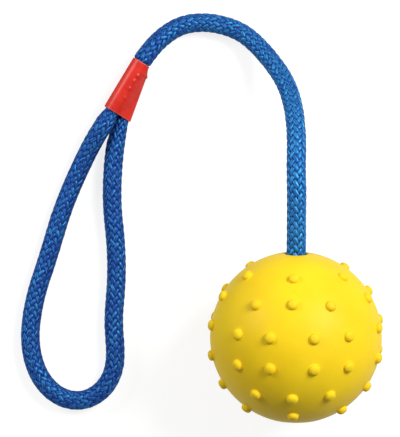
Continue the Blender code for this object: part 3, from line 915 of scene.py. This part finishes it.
lead = braid_piece("braided_lead", lead_start, lead_end, "rope", "rope_lead")
declare_cord(lead, lead_start, lead_end)
loop = braid_piece("braided_hand_loop", loop_start, loop_end, "rope", "rope_loop")
declare_cord(loop, loop_start, loop_end)
braid_piece("braided_running_leg", lead_end, loop_start, "rope", "rope_leg_running")
braid_piece("braided_cut_leg", loop_end, END_PLACE["cut_leg"], "rope", "rope_leg_cut_end")
braid_piece("braided_knot", 0.0, END_PLACE["knot"], "knotted_end", "stopper_knot")
braid_piece("braided_tail", END_PLACE["knot"], END_PLACE["tail"], "knotted_end", "rope_tail")

# %% [markdown]
# Four things to come are rings of points joined by four-sided faces: the melted ends of the rope,
# the film, the ball's skin and its pimples. One helper makes them all. The rings are either joined
# in a loop, as for a wall that closes on itself, or the first and last rings are filled. The points
# of every ring run the same way round, which keeps all faces pointing out.

# %% A mesh from rings of points
def ring_mesh(name, rings, looped=False):
    """A smooth closed mesh: rings joined in a loop, or with the two end rings filled."""
    sides = len(rings[0])
    corners = [tuple(point) for ring in rings for point in ring]
    faces = []
    if not looped:
        faces = [tuple(range(sides))[::-1], tuple(range(len(corners) - sides, len(corners)))]
    for row in range(len(rings) if looped else len(rings) - 1):
        this, after = row * sides, (row + 1) % len(rings) * sides
        for k in range(sides):
            j = (k + 1) % sides
            faces.append((this + k, this + j, after + j, after + k))
    data = bpy.data.meshes.new(name)
    data.from_pydata(corners, [], faces)
    data.shade_smooth()
    return data


def full_turn(steps):
    """Angles evenly spaced over one full turn."""
    return np.linspace(0.0, 2 * math.pi, steps, endpoint=False)


print("eight angles of a turn:", [round(math.degrees(angle)) for angle in full_turn(8)])

# %% [markdown]
# A cut end of plastic rope is sealed with heat, so that it can't fray. The strands melt into a
# lumpy dark button. A squashed sphere would look machined, so the button is rings round the rope's
# own line that shrink to the tip, with a slow ripple.

# %% Melted material and the two sealed ends
SEAL_LENGTH = 0.0011
SEAL_ROOT = -0.4
SEAL_RINGS = 8
SEAL_SIDES = 32
SEAL_GIRTH = 0.97
SEAL_FULLNESS = 2.6
SEAL_TIP = 0.02
BROAD_WAVES = 3
BROAD_START = 1.0
BROAD_RIPPLE = 0.03
FINE_WAVES = 7
FINE_LEAN = 4
FINE_RIPPLE = 0.02
MELTED_DYES = ((0.004, 0.022, 0.11), (0.012, 0.07, 0.28))
MELTED_LUMPS = 900.0
MELTED_BUMP = 0.00025


def melted_material():
    """Rope fibre melted into dark, slightly lumpy plastic."""
    material, tree, shader = start_material("melted_rope", Roughness=0.42, Specular_IOR_Level=0.3)
    lumps = noise_at(tree, object_place(tree), MELTED_LUMPS, 3.0)
    dye = blend_colours(tree, stretch_range(tree, lumps, *NOISE_MIDDLE), *MELTED_DYES)
    fill_in(tree, shader, Base_Color=dye, Normal=bump(tree, lumps, MELTED_BUMP))
    return material


def sealed_end(name, place, outward, body):
    """The melted button at one cut end of the rope."""
    spot = min(ROPE_ALONG.searchsorted(place), len(ROPE_LINE) - 1)
    middle, ahead, across = ROPE_LINE[spot], ROPE_AHEAD[spot] * outward, ROPE_ACROSS[spot]
    beside = np.cross(ahead, across)
    radius = SEAL_GIRTH * ROPE_RADIUS * float(rope_girth(np.array([place]))[0])
    rings = []
    for share in np.linspace(SEAL_ROOT, 1.0, SEAL_RINGS):
        reach = radius * math.sqrt(max(SEAL_TIP, 1.0 - max(0.0, share) ** SEAL_FULLNESS))
        ring = []
        for angle in full_turn(SEAL_SIDES):
            ripple = (1.0 + BROAD_RIPPLE * math.sin(BROAD_WAVES * angle + BROAD_START)
                      + FINE_RIPPLE * math.sin(FINE_WAVES * angle + FINE_LEAN * share))
            side = across * math.cos(angle) + beside * math.sin(angle)
            ring.append(middle + ahead * share * SEAL_LENGTH + side * reach * ripple)
        rings.append(ring)
    data = ring_mesh(name, rings)
    data.materials.append(MELTED_ROPE)
    piece = put_in_scene(name, data)
    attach(piece, body)
    print(name + ":", len(data.polygons), "faces,", mm(2 * radius), "mm across")


MELTED_ROPE = melted_material()
sealed_end("sealed_knot_end", 0.0, -1, "knotted_end")
sealed_end("sealed_loop_end", END_PLACE["cut_leg"], 1, "rope")

# %% [markdown]
# The two legs are sewn together before the film goes on. The thread goes up through both legs,
# along, down through both and on. Its corners are laid out first, with a short slant instead of a
# sharp bend, because a thread never turns on the spot.

# %% The thread's way through the legs
THREAD_RADIUS = 0.0004
STITCH_COUNT = 5
STITCH_FIRST = 0.0049
STITCH_SPACING = 0.0026
STITCH_OFFSET = 0.0015
STITCH_CORNER = 0.0005
THREAD_STEP = 0.00015


def stitch_points():
    """The thread's line: up through both legs, along, down through both, along, and so on."""
    points = []
    above = GRIPPED_RADIUS - THREAD_RADIUS
    for k in range(STITCH_COUNT):
        down = STITCH_FIRST + k * STITCH_SPACING
        low_side = abs(STITCH_OFFSET - leg_offset(down))
        bottom = LOW_LEG_HEIGHT - math.sqrt(above ** 2 - low_side ** 2)
        top = high_leg_height(down) + math.sqrt(above ** 2 - STITCH_OFFSET ** 2)
        first, last, ease = bottom, top, STITCH_CORNER
        if k % 2:
            first, last, ease = top, bottom, -STITCH_CORNER
        if k > 0:
            points.append(in_sleeve(down - STITCH_CORNER, STITCH_OFFSET, first))
            first += ease
        points.append(in_sleeve(down, STITCH_OFFSET, first))
        if k < STITCH_COUNT - 1:
            points.append(in_sleeve(down, STITCH_OFFSET, last - ease))
            points.append(in_sleeve(down + STITCH_CORNER, STITCH_OFFSET, last))
        else:
            points.append(in_sleeve(down, STITCH_OFFSET, last))
    return points


def thread_line(points):
    """Straight runs between the thread's points, as a mesh with what the plies need."""
    corners = np.array([tuple(point) for point in points])
    marks = distances(corners)
    places = np.linspace(0.0, marks[-1], round(marks[-1] / THREAD_STEP) + 1)
    line = read_rows(places, marks, corners)
    _, across, beside = carried_directions(line)
    print("the thread is", mm(marks[-1]), "mm long")
    return line_mesh("stitch_line", line, along=places, across=across, beside=beside)


stitch_line = thread_line(stitch_points())

# %% [markdown]
# Sewing thread is three plies twisted together. A striped cylinder would pass from afar, but the
# braid's helpers make real plies at no cost: all of them wind the same way and stay at the same
# distance, so the tree is short. The thread is white polyester with fine hairs in its shade.

# %% Sewing thread
PLY_POINTS = 6
PLY_CLOSENESS = 0.95
THREAD_SIZES = (
    ("Plies", "Int", 3),
    ("Ply radius", "Float", 0.00021),
    ("Twist length", "Float", 0.0013),
    ("Material", "Material", None),
)
THREAD_WHITES = ((0.66, 0.65, 0.62), (0.86, 0.86, 0.84))
THREAD_HAIRS = 6000.0
THREAD_BUMP = 0.00003


def thread_tree():
    """Turns a line into three plies that twist round it."""
    tree, given = start_tree("thread", THREAD_SIZES)
    plies, radius = given["Plies"], given["Ply radius"]
    _, copies, number = copied_line(tree, given["Geometry"], plies)
    start = work_out(tree, "DIVIDE", number, plies)
    turns = work_out(tree, "DIVIDE", stored(tree, "along"), given["Twist length"])
    angle = work_out(tree, "MULTIPLY", work_out(tree, "ADD", start, turns), 2 * math.pi)
    away = work_out(tree, "MULTIPLY", radius, PLY_CLOSENESS)
    offset = scaled(tree, way_out(tree, angle), away)
    wound = add(tree, "GeometryNodeSetPosition", Geometry=copies, Offset=offset).outputs[0]
    end_tree(tree, sweep(tree, wound, round_ring(tree, PLY_POINTS, radius)), given["Material"])
    return tree


def thread_material():
    """White twisted polyester."""
    material, tree, shader = start_material("white_thread", Roughness=0.62)
    hairs = noise_at(tree, object_place(tree), THREAD_HAIRS, 3.0)
    fill_in(tree, shader, Base_Color=blend_colours(tree, hairs, *THREAD_WHITES),
            Normal=bump(tree, hairs, THREAD_BUMP))
    return material


thread = grow("twisted_thread", stitch_line, thread_tree(), {"Material": thread_material()})
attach(thread, "rope")
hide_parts("stitch_thread")

# %% [markdown]
# The sleeve is a piece of red tube that shrank in hot air until it gripped both legs. A cloth
# simulation could shrink a tube, but its wrinkles would come out differently each time. Across the
# toy the film is a belt stretched round two circles, so its outline is worked out from them: for
# each direction, the circle that reaches furthest carries the belt. The outline is then spaced
# evenly, so that its flat webs have points too.

# %% Film outline
FILM_SIDES = 144
FILM_DIRECTIONS = 1440
FILM_SLOPE = 0.0020
FILM_INNER = GRIPPED_RADIUS + CLEARANCE


def film_middles(down):
    """Middles, across and up, of the two circles that the film goes round."""
    share = (down - CUT_END_SET_BACK + CLEARANCE + FILM_SLOPE) / FILM_SLOPE
    share = min(1.0, max(0.0, share))
    high = high_leg_height(down)
    return np.array([(0.0, high),
                     (leg_offset(down) * share, high + (LOW_LEG_HEIGHT - high) * share)])


def film_outline(down, radius):
    """Evenly spaced points on the film's outline, from its left side, and their outward ways."""
    middles = film_middles(down)
    angles = math.pi + full_turn(FILM_DIRECTIONS)
    ways = np.stack([np.cos(angles), np.sin(angles)], axis=1)
    carrier = np.argmax(ways @ middles.T, axis=1)
    belt = middles[carrier] + radius * ways
    closed = np.vstack([belt, belt[:1]])
    marks = distances(closed)
    even = np.linspace(0.0, marks[-1], FILM_SIDES, endpoint=False)
    points = read_rows(even, marks, closed)
    onward = np.roll(points, -1, axis=0) - np.roll(points, 1, axis=0)
    return points, unit(np.stack([onward[:, 1], -onward[:, 0]], axis=1))


for end_name, down in (("upper", 0.0), ("lower", SLEEVE_LENGTH)):
    outline_width = np.ptp(film_outline(down, FILM_INNER + SLEEVE_WALL)[0][:, 0])
    print("the film's", end_name, "end is", mm(outline_width), "mm wide")

# %% [markdown]
# Shrunk film shows what lies beneath it: the knots of the thread stand out as small bumps, and the
# corner of the rope's cut end as a shoulder. Each is a soft hill that pushes the outline outwards.
# One closed loop of stations runs down the outside, round the cut edge and back up the inside,
# which gives the film a real, rounded edge that a single sheet wouldn't have.

# %% Film bumps and stations
FILM_STATIONS = 110
FILM_EDGE_STEPS = 6
FILM_LIP = 0.0008
FILM_LIP_FLARE = 0.00004
THREAD_KNOTS = ((0.0049, 0.0016, 0.00036), (0.0072, 0.0014, 0.00028),
                (0.0103, 0.0014, 0.00026), (0.0140, 0.0017, 0.00024))
THREAD_KNOT_REACH = 0.00055
TOP_SIDE = 0.2
CUT_CORNER = 0.0034
CUT_CORNER_HEIGHT = 0.00035
CUT_CORNER_REACH = 0.00045
CUT_CORNER_SHARPNESS = 3


def film_push(down, points, ways):
    """How far the film is pushed out by what lies under it, and where its edge flares."""
    push = np.zeros(len(points))
    for knot_down, knot_right, height in THREAD_KNOTS:
        apart = (down - knot_down) ** 2 + (points[:, 0] - knot_right) ** 2
        push += height * np.exp(-apart / THREAD_KNOT_REACH ** 2) * (ways[:, 1] > TOP_SIDE)
    corner = math.exp(-((down - CUT_CORNER) / CUT_CORNER_REACH) ** 2)
    push += CUT_CORNER_HEIGHT * corner * np.clip(ways[:, 0], 0.0, 1.0) ** CUT_CORNER_SHARPNESS
    to_edge = min(down, SLEEVE_LENGTH - down)
    push += FILM_LIP_FLARE * max(0.0, 1.0 - to_edge / FILM_LIP) ** 2
    return push


def film_stations():
    """Stations of the film's wall as (distance down, share of the wall outwards), in a loop."""
    half = SLEEVE_WALL / 2
    turns = np.linspace(0.0, math.pi, FILM_EDGE_STEPS + 1)[1:-1]
    wall = np.linspace(half, SLEEVE_LENGTH - half, FILM_STATIONS)
    outside = [(down, 1.0) for down in wall]
    lower_edge = [(SLEEVE_LENGTH - half + half * math.sin(turn), 0.5 + 0.5 * math.cos(turn))
                  for turn in turns]
    inside = [(down, 0.0) for down in wall[::-1]]
    upper_edge = [(half - half * math.sin(turn), 0.5 - 0.5 * math.cos(turn)) for turn in turns]
    return outside + lower_edge + inside + upper_edge


print("the film has", len(film_stations()), "stations and a wall of", mm(SLEEVE_WALL, 2), "mm")

# %% [markdown]
# Shrunk film has a satin sheen and is a little wavy. The sheen is a thin coat over plastic that
# doesn't shine by itself, so that the red stays pure beside the highlight. The cut edges are
# painted paler, a painted highlight where the edge catches the light; an attribute that holds the
# distance to the nearest edge gives that painted rim.

# %% Film material and the sleeve
FILM_REDS = ((0.58, 0.013, 0.005), (0.66, 0.021, 0.008))
# The edge colour is a painted highlight along the film's cut edges.
FILM_EDGE_HIGHLIGHT = (0.90, 0.25, 0.20)
FILM_EDGE_HIGHLIGHT_REACH = (0.00008, 0.00030, 0.50, 0.0)
FILM_CLOUDS = 260.0
FILM_WAVES = 420.0
FILM_GRAIN = 1500.0
FILM_WAVE_BUMP = (0.00030, 0.6)
FILM_GRAIN_BUMP = (0.00004, 0.6)


def film_material():
    """Red shrunk film with a painted highlight along its cut edge."""
    material, tree, shader = start_material("red_shrink_film", Roughness=0.40,
                                            Specular_IOR_Level=0.0, Coat_Weight=0.17,
                                            Coat_Roughness=0.36, Coat_IOR=2.4)
    place = object_place(tree)
    clouds = stretch_range(tree, noise_at(tree, place, FILM_CLOUDS), *NOISE_MIDDLE)
    red = blend_colours(tree, clouds, *FILM_REDS)
    # Painted highlight: the film is paler near its cut edges.
    rim = stretch_range(tree, attribute(tree, "to_edge"), *FILM_EDGE_HIGHLIGHT_REACH)
    waves = bump(tree, noise_at(tree, place, FILM_WAVES, 1.0), *FILM_WAVE_BUMP)
    grain = noise_at(tree, place, FILM_GRAIN)
    fill_in(tree, shader, Base_Color=blend_colours(tree, rim, red, FILM_EDGE_HIGHLIGHT),
            Normal=bump(tree, grain, *FILM_GRAIN_BUMP, under=waves))
    return material


def film_mesh():
    """The film's wall as one closed mesh."""
    rings = []
    to_edge = []
    for down, share in film_stations():
        points, ways = film_outline(down, FILM_INNER + SLEEVE_WALL * share)
        pushed = points + ways * film_push(down, points, ways)[:, None]
        rings.append([in_sleeve(down, right, height) for right, height in pushed])
        to_edge += [min(down, SLEEVE_LENGTH - down)] * len(points)
    data = ring_mesh("film_sleeve", rings, looped=True)
    mark_points(data, "to_edge", to_edge)
    return data


film = film_mesh()
film.materials.append(film_material())
sleeve = put_in_scene("film_sleeve", film)
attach(sleeve, "rope")
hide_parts("shrink_sleeve")
print("film:", len(film.polygons), "faces")

# %% [markdown]
# The ball is one moulding of solid rubber. A sphere with its holes cut out would keep ragged rims,
# so the skin is a lathe shape, turned round the bore: the mouth with its rounded lip, the round
# outside, the rim of the recess, the recess for the knot and the bore back to the mouth. Finer arcs
# than the frame's make it smooth.

# %% Ball skin
BALL_SEGMENTS = 160
BALL_SIDE_STEPS = 64
RIM_STEPS = 7
RECESS_FLOOR_STEPS = 8
BORE_RIM_STEPS = 6
MOUTH_ROUND = 0.0006
RECESS_ROUND = 0.0006
RECESS_FLOOR_ROUND = 0.0025


def arc(middle, radius, start, end, steps):
    """Points along a circular arc in a plane, both ends included."""
    return [(middle[0] + radius * math.cos(a), middle[1] + radius * math.sin(a))
            for a in np.linspace(start, end, steps + 1)]


def ball_outline():
    """Half section of the ball as (radius, height along the bore), a closed outline."""
    lip = BORE_RADIUS + MOUTH_ROUND
    lip_height = math.sqrt((BALL_RADIUS - MOUTH_ROUND) ** 2 - lip ** 2)
    lip_angle = math.atan2(lip_height, lip)
    rim = RECESS_RADIUS + RECESS_ROUND
    rim_height = -math.sqrt((BALL_RADIUS - RECESS_ROUND) ** 2 - rim ** 2)
    rim_angle = math.atan2(rim_height, rim)
    corner = (RECESS_RADIUS - RECESS_FLOOR_ROUND, RECESS_FLOOR - RECESS_FLOOR_ROUND)
    bore_rim = (lip, RECESS_FLOOR + MOUTH_ROUND)
    outline = arc((lip, lip_height), MOUTH_ROUND, math.pi, lip_angle, RIM_STEPS)
    outline += arc((0.0, 0.0), BALL_RADIUS, lip_angle, rim_angle, BALL_SIDE_STEPS)[1:]
    outline += arc((rim, rim_height), RECESS_ROUND, rim_angle, -math.pi, RIM_STEPS)[1:]
    outline += arc(corner, RECESS_FLOOR_ROUND, 0.0, math.pi / 2, RECESS_FLOOR_STEPS)
    outline += arc(bore_rim, MOUTH_ROUND, -math.pi / 2, -math.pi, BORE_RIM_STEPS)
    return outline


def turned_mesh(name, outline, segments, place):
    """A closed outline turned round the Z axis of a frame."""
    rings = [[place @ Vector((r * math.cos(turn), r * math.sin(turn), h)) for r, h in outline]
             for turn in full_turn(segments)]
    return ring_mesh(name, rings, looped=True)


skin_mesh = turned_mesh("ball_skin", ball_outline(), BALL_SEGMENTS, BALL_FRAME)
skin = put_in_scene("ball_skin", skin_mesh)
print("ball skin:", len(skin_mesh.polygons), "faces")
print("the knot's recess is", mm(2 * RECESS_RADIUS), "mm across")

# %% [markdown]
# The pimples stand in rows of latitude about the bore, each repeated left and right, front and
# back, and towards both ends, so a short table of angles places them all. One stud is enough: a
# foot that flows out of the skin, short sides and a domed top.

# %% Pimples and where they stand
PIMPLE_RADIUS = 0.0019
PIMPLE_HEIGHT = 0.0017
PIMPLE_FOOT = 0.0003
PIMPLE_SINK = 0.00001
PIMPLE_ROOT = 0.0006
PIMPLE_FULLNESS = 0.8
PIMPLE_SIDES = 24
PIMPLE_FOOT_POINTS = 6
PIMPLE_DOME_POINTS = 8
PIMPLE_TIP = 0.00003
DIRECTION_DIGITS = 9
PIMPLE_ROWS = (
    (10.2, (14.8, 39.8, 75.0)),
    (31.0, (29.5, 74.0)),
    (32.8, (0.0,)),
    (50.5, (59.0,)),
    (52.3, (0.0,)),
)


def pimple_directions():
    """Directions of all pimples in the ball's own frame, with its front along -Y."""
    seen = set()
    for latitude, longitudes in PIMPLE_ROWS:
        for longitude in longitudes:
            fronts = (longitude, 180.0 - longitude)
            for end, side, front in itertools.product((1, -1), (1, -1), fronts):
                lat = math.radians(end * latitude)
                lon = math.radians(side * front)
                way = (math.cos(lat) * math.sin(lon), -math.cos(lat) * math.cos(lon), math.sin(lat))
                seen.add(tuple(round(part, DIRECTION_DIGITS) for part in way))
    return [Vector(direction) for direction in sorted(seen)]


def stud_section():
    """Half section of a pimple as (radius, height over the skin), from its root to its tip."""
    section = [(PIMPLE_RADIUS, -PIMPLE_ROOT)]
    for turn in np.linspace(0.0, math.pi / 2, PIMPLE_FOOT_POINTS):
        section.append((PIMPLE_RADIUS + PIMPLE_FOOT * (1 - math.sin(turn)),
                        PIMPLE_FOOT * (1 - math.cos(turn)) - PIMPLE_SINK))
    dome = PIMPLE_HEIGHT - PIMPLE_FOOT
    for turn in np.linspace(0.0, math.pi / 2, PIMPLE_DOME_POINTS + 1)[1:]:
        section.append((PIMPLE_RADIUS * math.cos(turn) ** PIMPLE_FULLNESS,
                        PIMPLE_FOOT + dome * math.sin(turn) ** PIMPLE_FULLNESS))
    return section


def stud_mesh():
    """One pimple, which follows the ball's skin, with the skin at the origin's height."""
    rings = []
    for radius, height in stud_section():
        radius = max(radius, PIMPLE_TIP)
        level = math.sqrt(BALL_RADIUS ** 2 - radius ** 2) - BALL_RADIUS + height
        rings.append([(radius * math.cos(turn), radius * math.sin(turn), level)
                      for turn in full_turn(PIMPLE_SIDES)])
    return ring_mesh("stud", rings)


stud = put_in_scene("stud", stud_mesh())
print("pimples:", len(pimple_directions()), "each with", len(stud.data.polygons), "faces")

# %% [markdown]
# Nobody wants to place all the studs by hand. Geometry Nodes put a copy on every point, turned to
# look away from the ball's middle, and join the copies with the skin into one moulding. The points
# carry the direction that their stud looks in.

# %% Pimples on the skin
def pimple_tree():
    """Puts a stud on every point, turned outwards, and joins them with the skin."""
    sizes = (("Stud", "Object", None), ("Skin", "Object", None), ("Material", "Material", None))
    tree, given = start_tree("pimples", sizes)
    stud_shape = add(tree, "GeometryNodeObjectInfo", Object=given["Stud"]).outputs["Geometry"]
    skin_shape = add(tree, "GeometryNodeObjectInfo", Object=given["Skin"]).outputs["Geometry"]
    turned = add(tree, "FunctionNodeAlignRotationToVector", {"axis": "Z"},
                 Vector=stored(tree, "outward", "FLOAT_VECTOR")).outputs[0]
    studs = add(tree, "GeometryNodeInstanceOnPoints", Points=given["Geometry"],
                Instance=stud_shape, Rotation=turned).outputs[0]
    end_tree(tree, join(tree, studs, skin_shape), given["Material"])
    return tree


def pimple_points():
    """A point on the skin for each pimple, with its outward direction."""
    turn = BALL_FRAME.to_3x3()
    ways = [turn @ direction for direction in pimple_directions()]
    data = bpy.data.meshes.new("pimple_points")
    data.from_pydata([tuple(BALL_MIDDLE + way * BALL_RADIUS) for way in ways], [], [])
    mark_points(data, "outward", [tuple(way) for way in ways])
    return data


PIMPLES = pimple_tree()
print("the pimples' tree has", len(PIMPLES.nodes), "nodes")

# %% [markdown]
# Moulded natural rubber is satin, not glossy. Its colour is very even, with faint clouds and a few
# darker specks in it, and close up the skin has a fine grain from the mould and a hint of orange
# peel, which break the highlight. Flat yellow would look like a toy of plain plastic, so noise at
# several scales gives all that, in the ball's own space.

# %% Rubber material and the ball
RUBBER_YELLOWS = ((0.84, 0.565, 0.008), (0.90, 0.630, 0.012))
RUBBER_SPECK = (0.60, 0.40, 0.010)
RUBBER_CLOUDS = 45.0
RUBBER_SPECKS = 900.0
RUBBER_PEEL = 320.0
RUBBER_GRAIN = 2600.0
CLOUD_RANGE = (0.3, 0.7)
SPECK_RANGE = (0.66, 0.78, 0.0, 0.35)
RUBBER_ROUGHNESS = (0.46, 0.56)
RUBBER_PEEL_BUMP = (0.00006, 0.5)
RUBBER_GRAIN_BUMP = (0.00002, 0.6)


def rubber_material():
    """Yellow moulded rubber."""
    material, tree, shader = start_material("yellow_rubber", Specular_IOR_Level=0.16)
    place = object_place(tree)
    clouds = noise_at(tree, place, RUBBER_CLOUDS, 3.0)
    yellow = blend_colours(tree, stretch_range(tree, clouds, *CLOUD_RANGE), *RUBBER_YELLOWS)
    specks = stretch_range(tree, noise_at(tree, place, RUBBER_SPECKS), *SPECK_RANGE)
    peel = bump(tree, noise_at(tree, place, RUBBER_PEEL), *RUBBER_PEEL_BUMP)
    grain = noise_at(tree, place, RUBBER_GRAIN)
    fill_in(tree, shader, Base_Color=blend_colours(tree, specks, yellow, RUBBER_SPECK),
            Roughness=stretch_range(tree, clouds, *CLOUD_RANGE, *RUBBER_ROUGHNESS),
            Normal=bump(tree, grain, *RUBBER_GRAIN_BUMP, under=peel))
    return material


moulding = {"Stud": stud, "Skin": skin, "Material": rubber_material()}
ball = grow("rubber_ball", pimple_points(), PIMPLES, moulding)
for pattern in (stud, skin):
    bpy.data.objects.remove(pattern, do_unlink=True)
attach(ball, "ball")
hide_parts("ball")

# %% [markdown]
# The toy lies on a plain pale floor. Stronger lamps could make it white, but they would bleach the
# toy too. So the floor glows a little for the camera and for reflections alone: it reads as white
# paper while the lamps stay at a plain level, and it still takes the toy's soft shadow. The world
# does the same: white to the camera, a quiet sky for the object.

# %% Floor and world
FLOOR_SIZE = 6.0
FLOOR_DROP = 0.00015
FLOOR_COLOUR = (0.30, 0.30, 0.295)
FLOOR_MOTTLE = 0.98
FLOOR_FIBRES = 700.0
FLOOR_GLOW = 0.80
SKY_LEVEL = 0.23
WHITE = (1.0, 1.0, 1.0, 1.0)


def seen_directly(tree):
    """One where the camera or a mirror looks, and zero for light that bounces."""
    path = tree.nodes.new("ShaderNodeLightPath")
    seen = work_out(tree, "MAXIMUM", path.outputs["Is Camera Ray"], path.outputs["Is Glossy Ray"])
    return work_out(tree, "MAXIMUM", seen, path.outputs["Is Transmission Ray"])


def floor_material():
    """White paper that glows for the camera."""
    material, tree, shader = start_material("white_paper", Roughness=0.9)
    fibres = noise_at(tree, object_place(tree), FLOOR_FIBRES)
    mottled = tuple(FLOOR_MOTTLE * c for c in FLOOR_COLOUR)
    fill_in(tree, shader, Base_Color=blend_colours(tree, fibres, mottled, FLOOR_COLOUR))
    strength = work_out(tree, "MULTIPLY", seen_directly(tree), FLOOR_GLOW)
    glow = add(tree, "ShaderNodeEmission", Color=WHITE, Strength=strength)
    both = tree.nodes.new("ShaderNodeAddShader")
    tree.links.new(shader.outputs[0], both.inputs[0])
    tree.links.new(glow.outputs[0], both.inputs[1])
    tree.links.new(both.outputs[0], tree.nodes["Material Output"].inputs["Surface"])
    return material


def make_floor():
    """A wide flat floor just under the toy."""
    half = FLOOR_SIZE / 2
    data = bpy.data.meshes.new("floor")
    corners = [(-half, -half, -FLOOR_DROP), (half, -half, -FLOOR_DROP),
               (half, half, -FLOOR_DROP), (-half, half, -FLOOR_DROP)]
    data.from_pydata(corners, [], [(0, 1, 2, 3)])
    data.materials.append(floor_material())
    floor = put_in_scene("floor", data)


def make_world():
    """A quiet sky that looks white."""
    world = bpy.data.worlds.new("studio")
    world.use_nodes = True
    tree = world.node_tree
    level = add(tree, "ShaderNodeMapRange", Value=seen_directly(tree),
                To_Min=SKY_LEVEL, To_Max=1.0).outputs[0]
    fill_in(tree, tree.nodes["Background"], Strength=level, Color=WHITE)
    bpy.context.scene.world = world


make_floor()
make_world()
print("floor:", FLOOR_SIZE, "m wide")

# %% [markdown]
# Two soft panels light the toy. A single lamp would leave its far side black. The large one stands
# to the upper right, not very high, and makes the ball's bright shoulder and the light side of the
# rope. A weaker one at the upper left puts the long highlight on the film and opens the shadows.

# %% Lamps
LAMP_TARGET = Vector((-0.015, 0.0, 0.015))


def panel(name, azimuth, elevation, distance, size, power):
    """A square soft panel that looks at the toy, placed by its direction from it."""
    lamp = bpy.data.lights.new(name, "AREA")
    lamp.shape = "SQUARE"
    lamp.size = size
    lamp.energy = power
    level = math.cos(math.radians(elevation))
    way = Vector((level * math.cos(math.radians(azimuth)), level * math.sin(math.radians(azimuth)),
                  math.sin(math.radians(elevation))))
    holder = bpy.data.objects.new(name, lamp)
    holder.location = LAMP_TARGET + way * distance
    holder.rotation_euler = way.to_track_quat("Z", "Y").to_euler()
    bpy.context.scene.collection.objects.link(holder)


panel("key_panel", azimuth=33.0, elevation=46.0, distance=0.9, size=0.40, power=8.6)
panel("fill_panel", azimuth=150.0, elevation=30.0, distance=0.9, size=0.35, power=3.7)
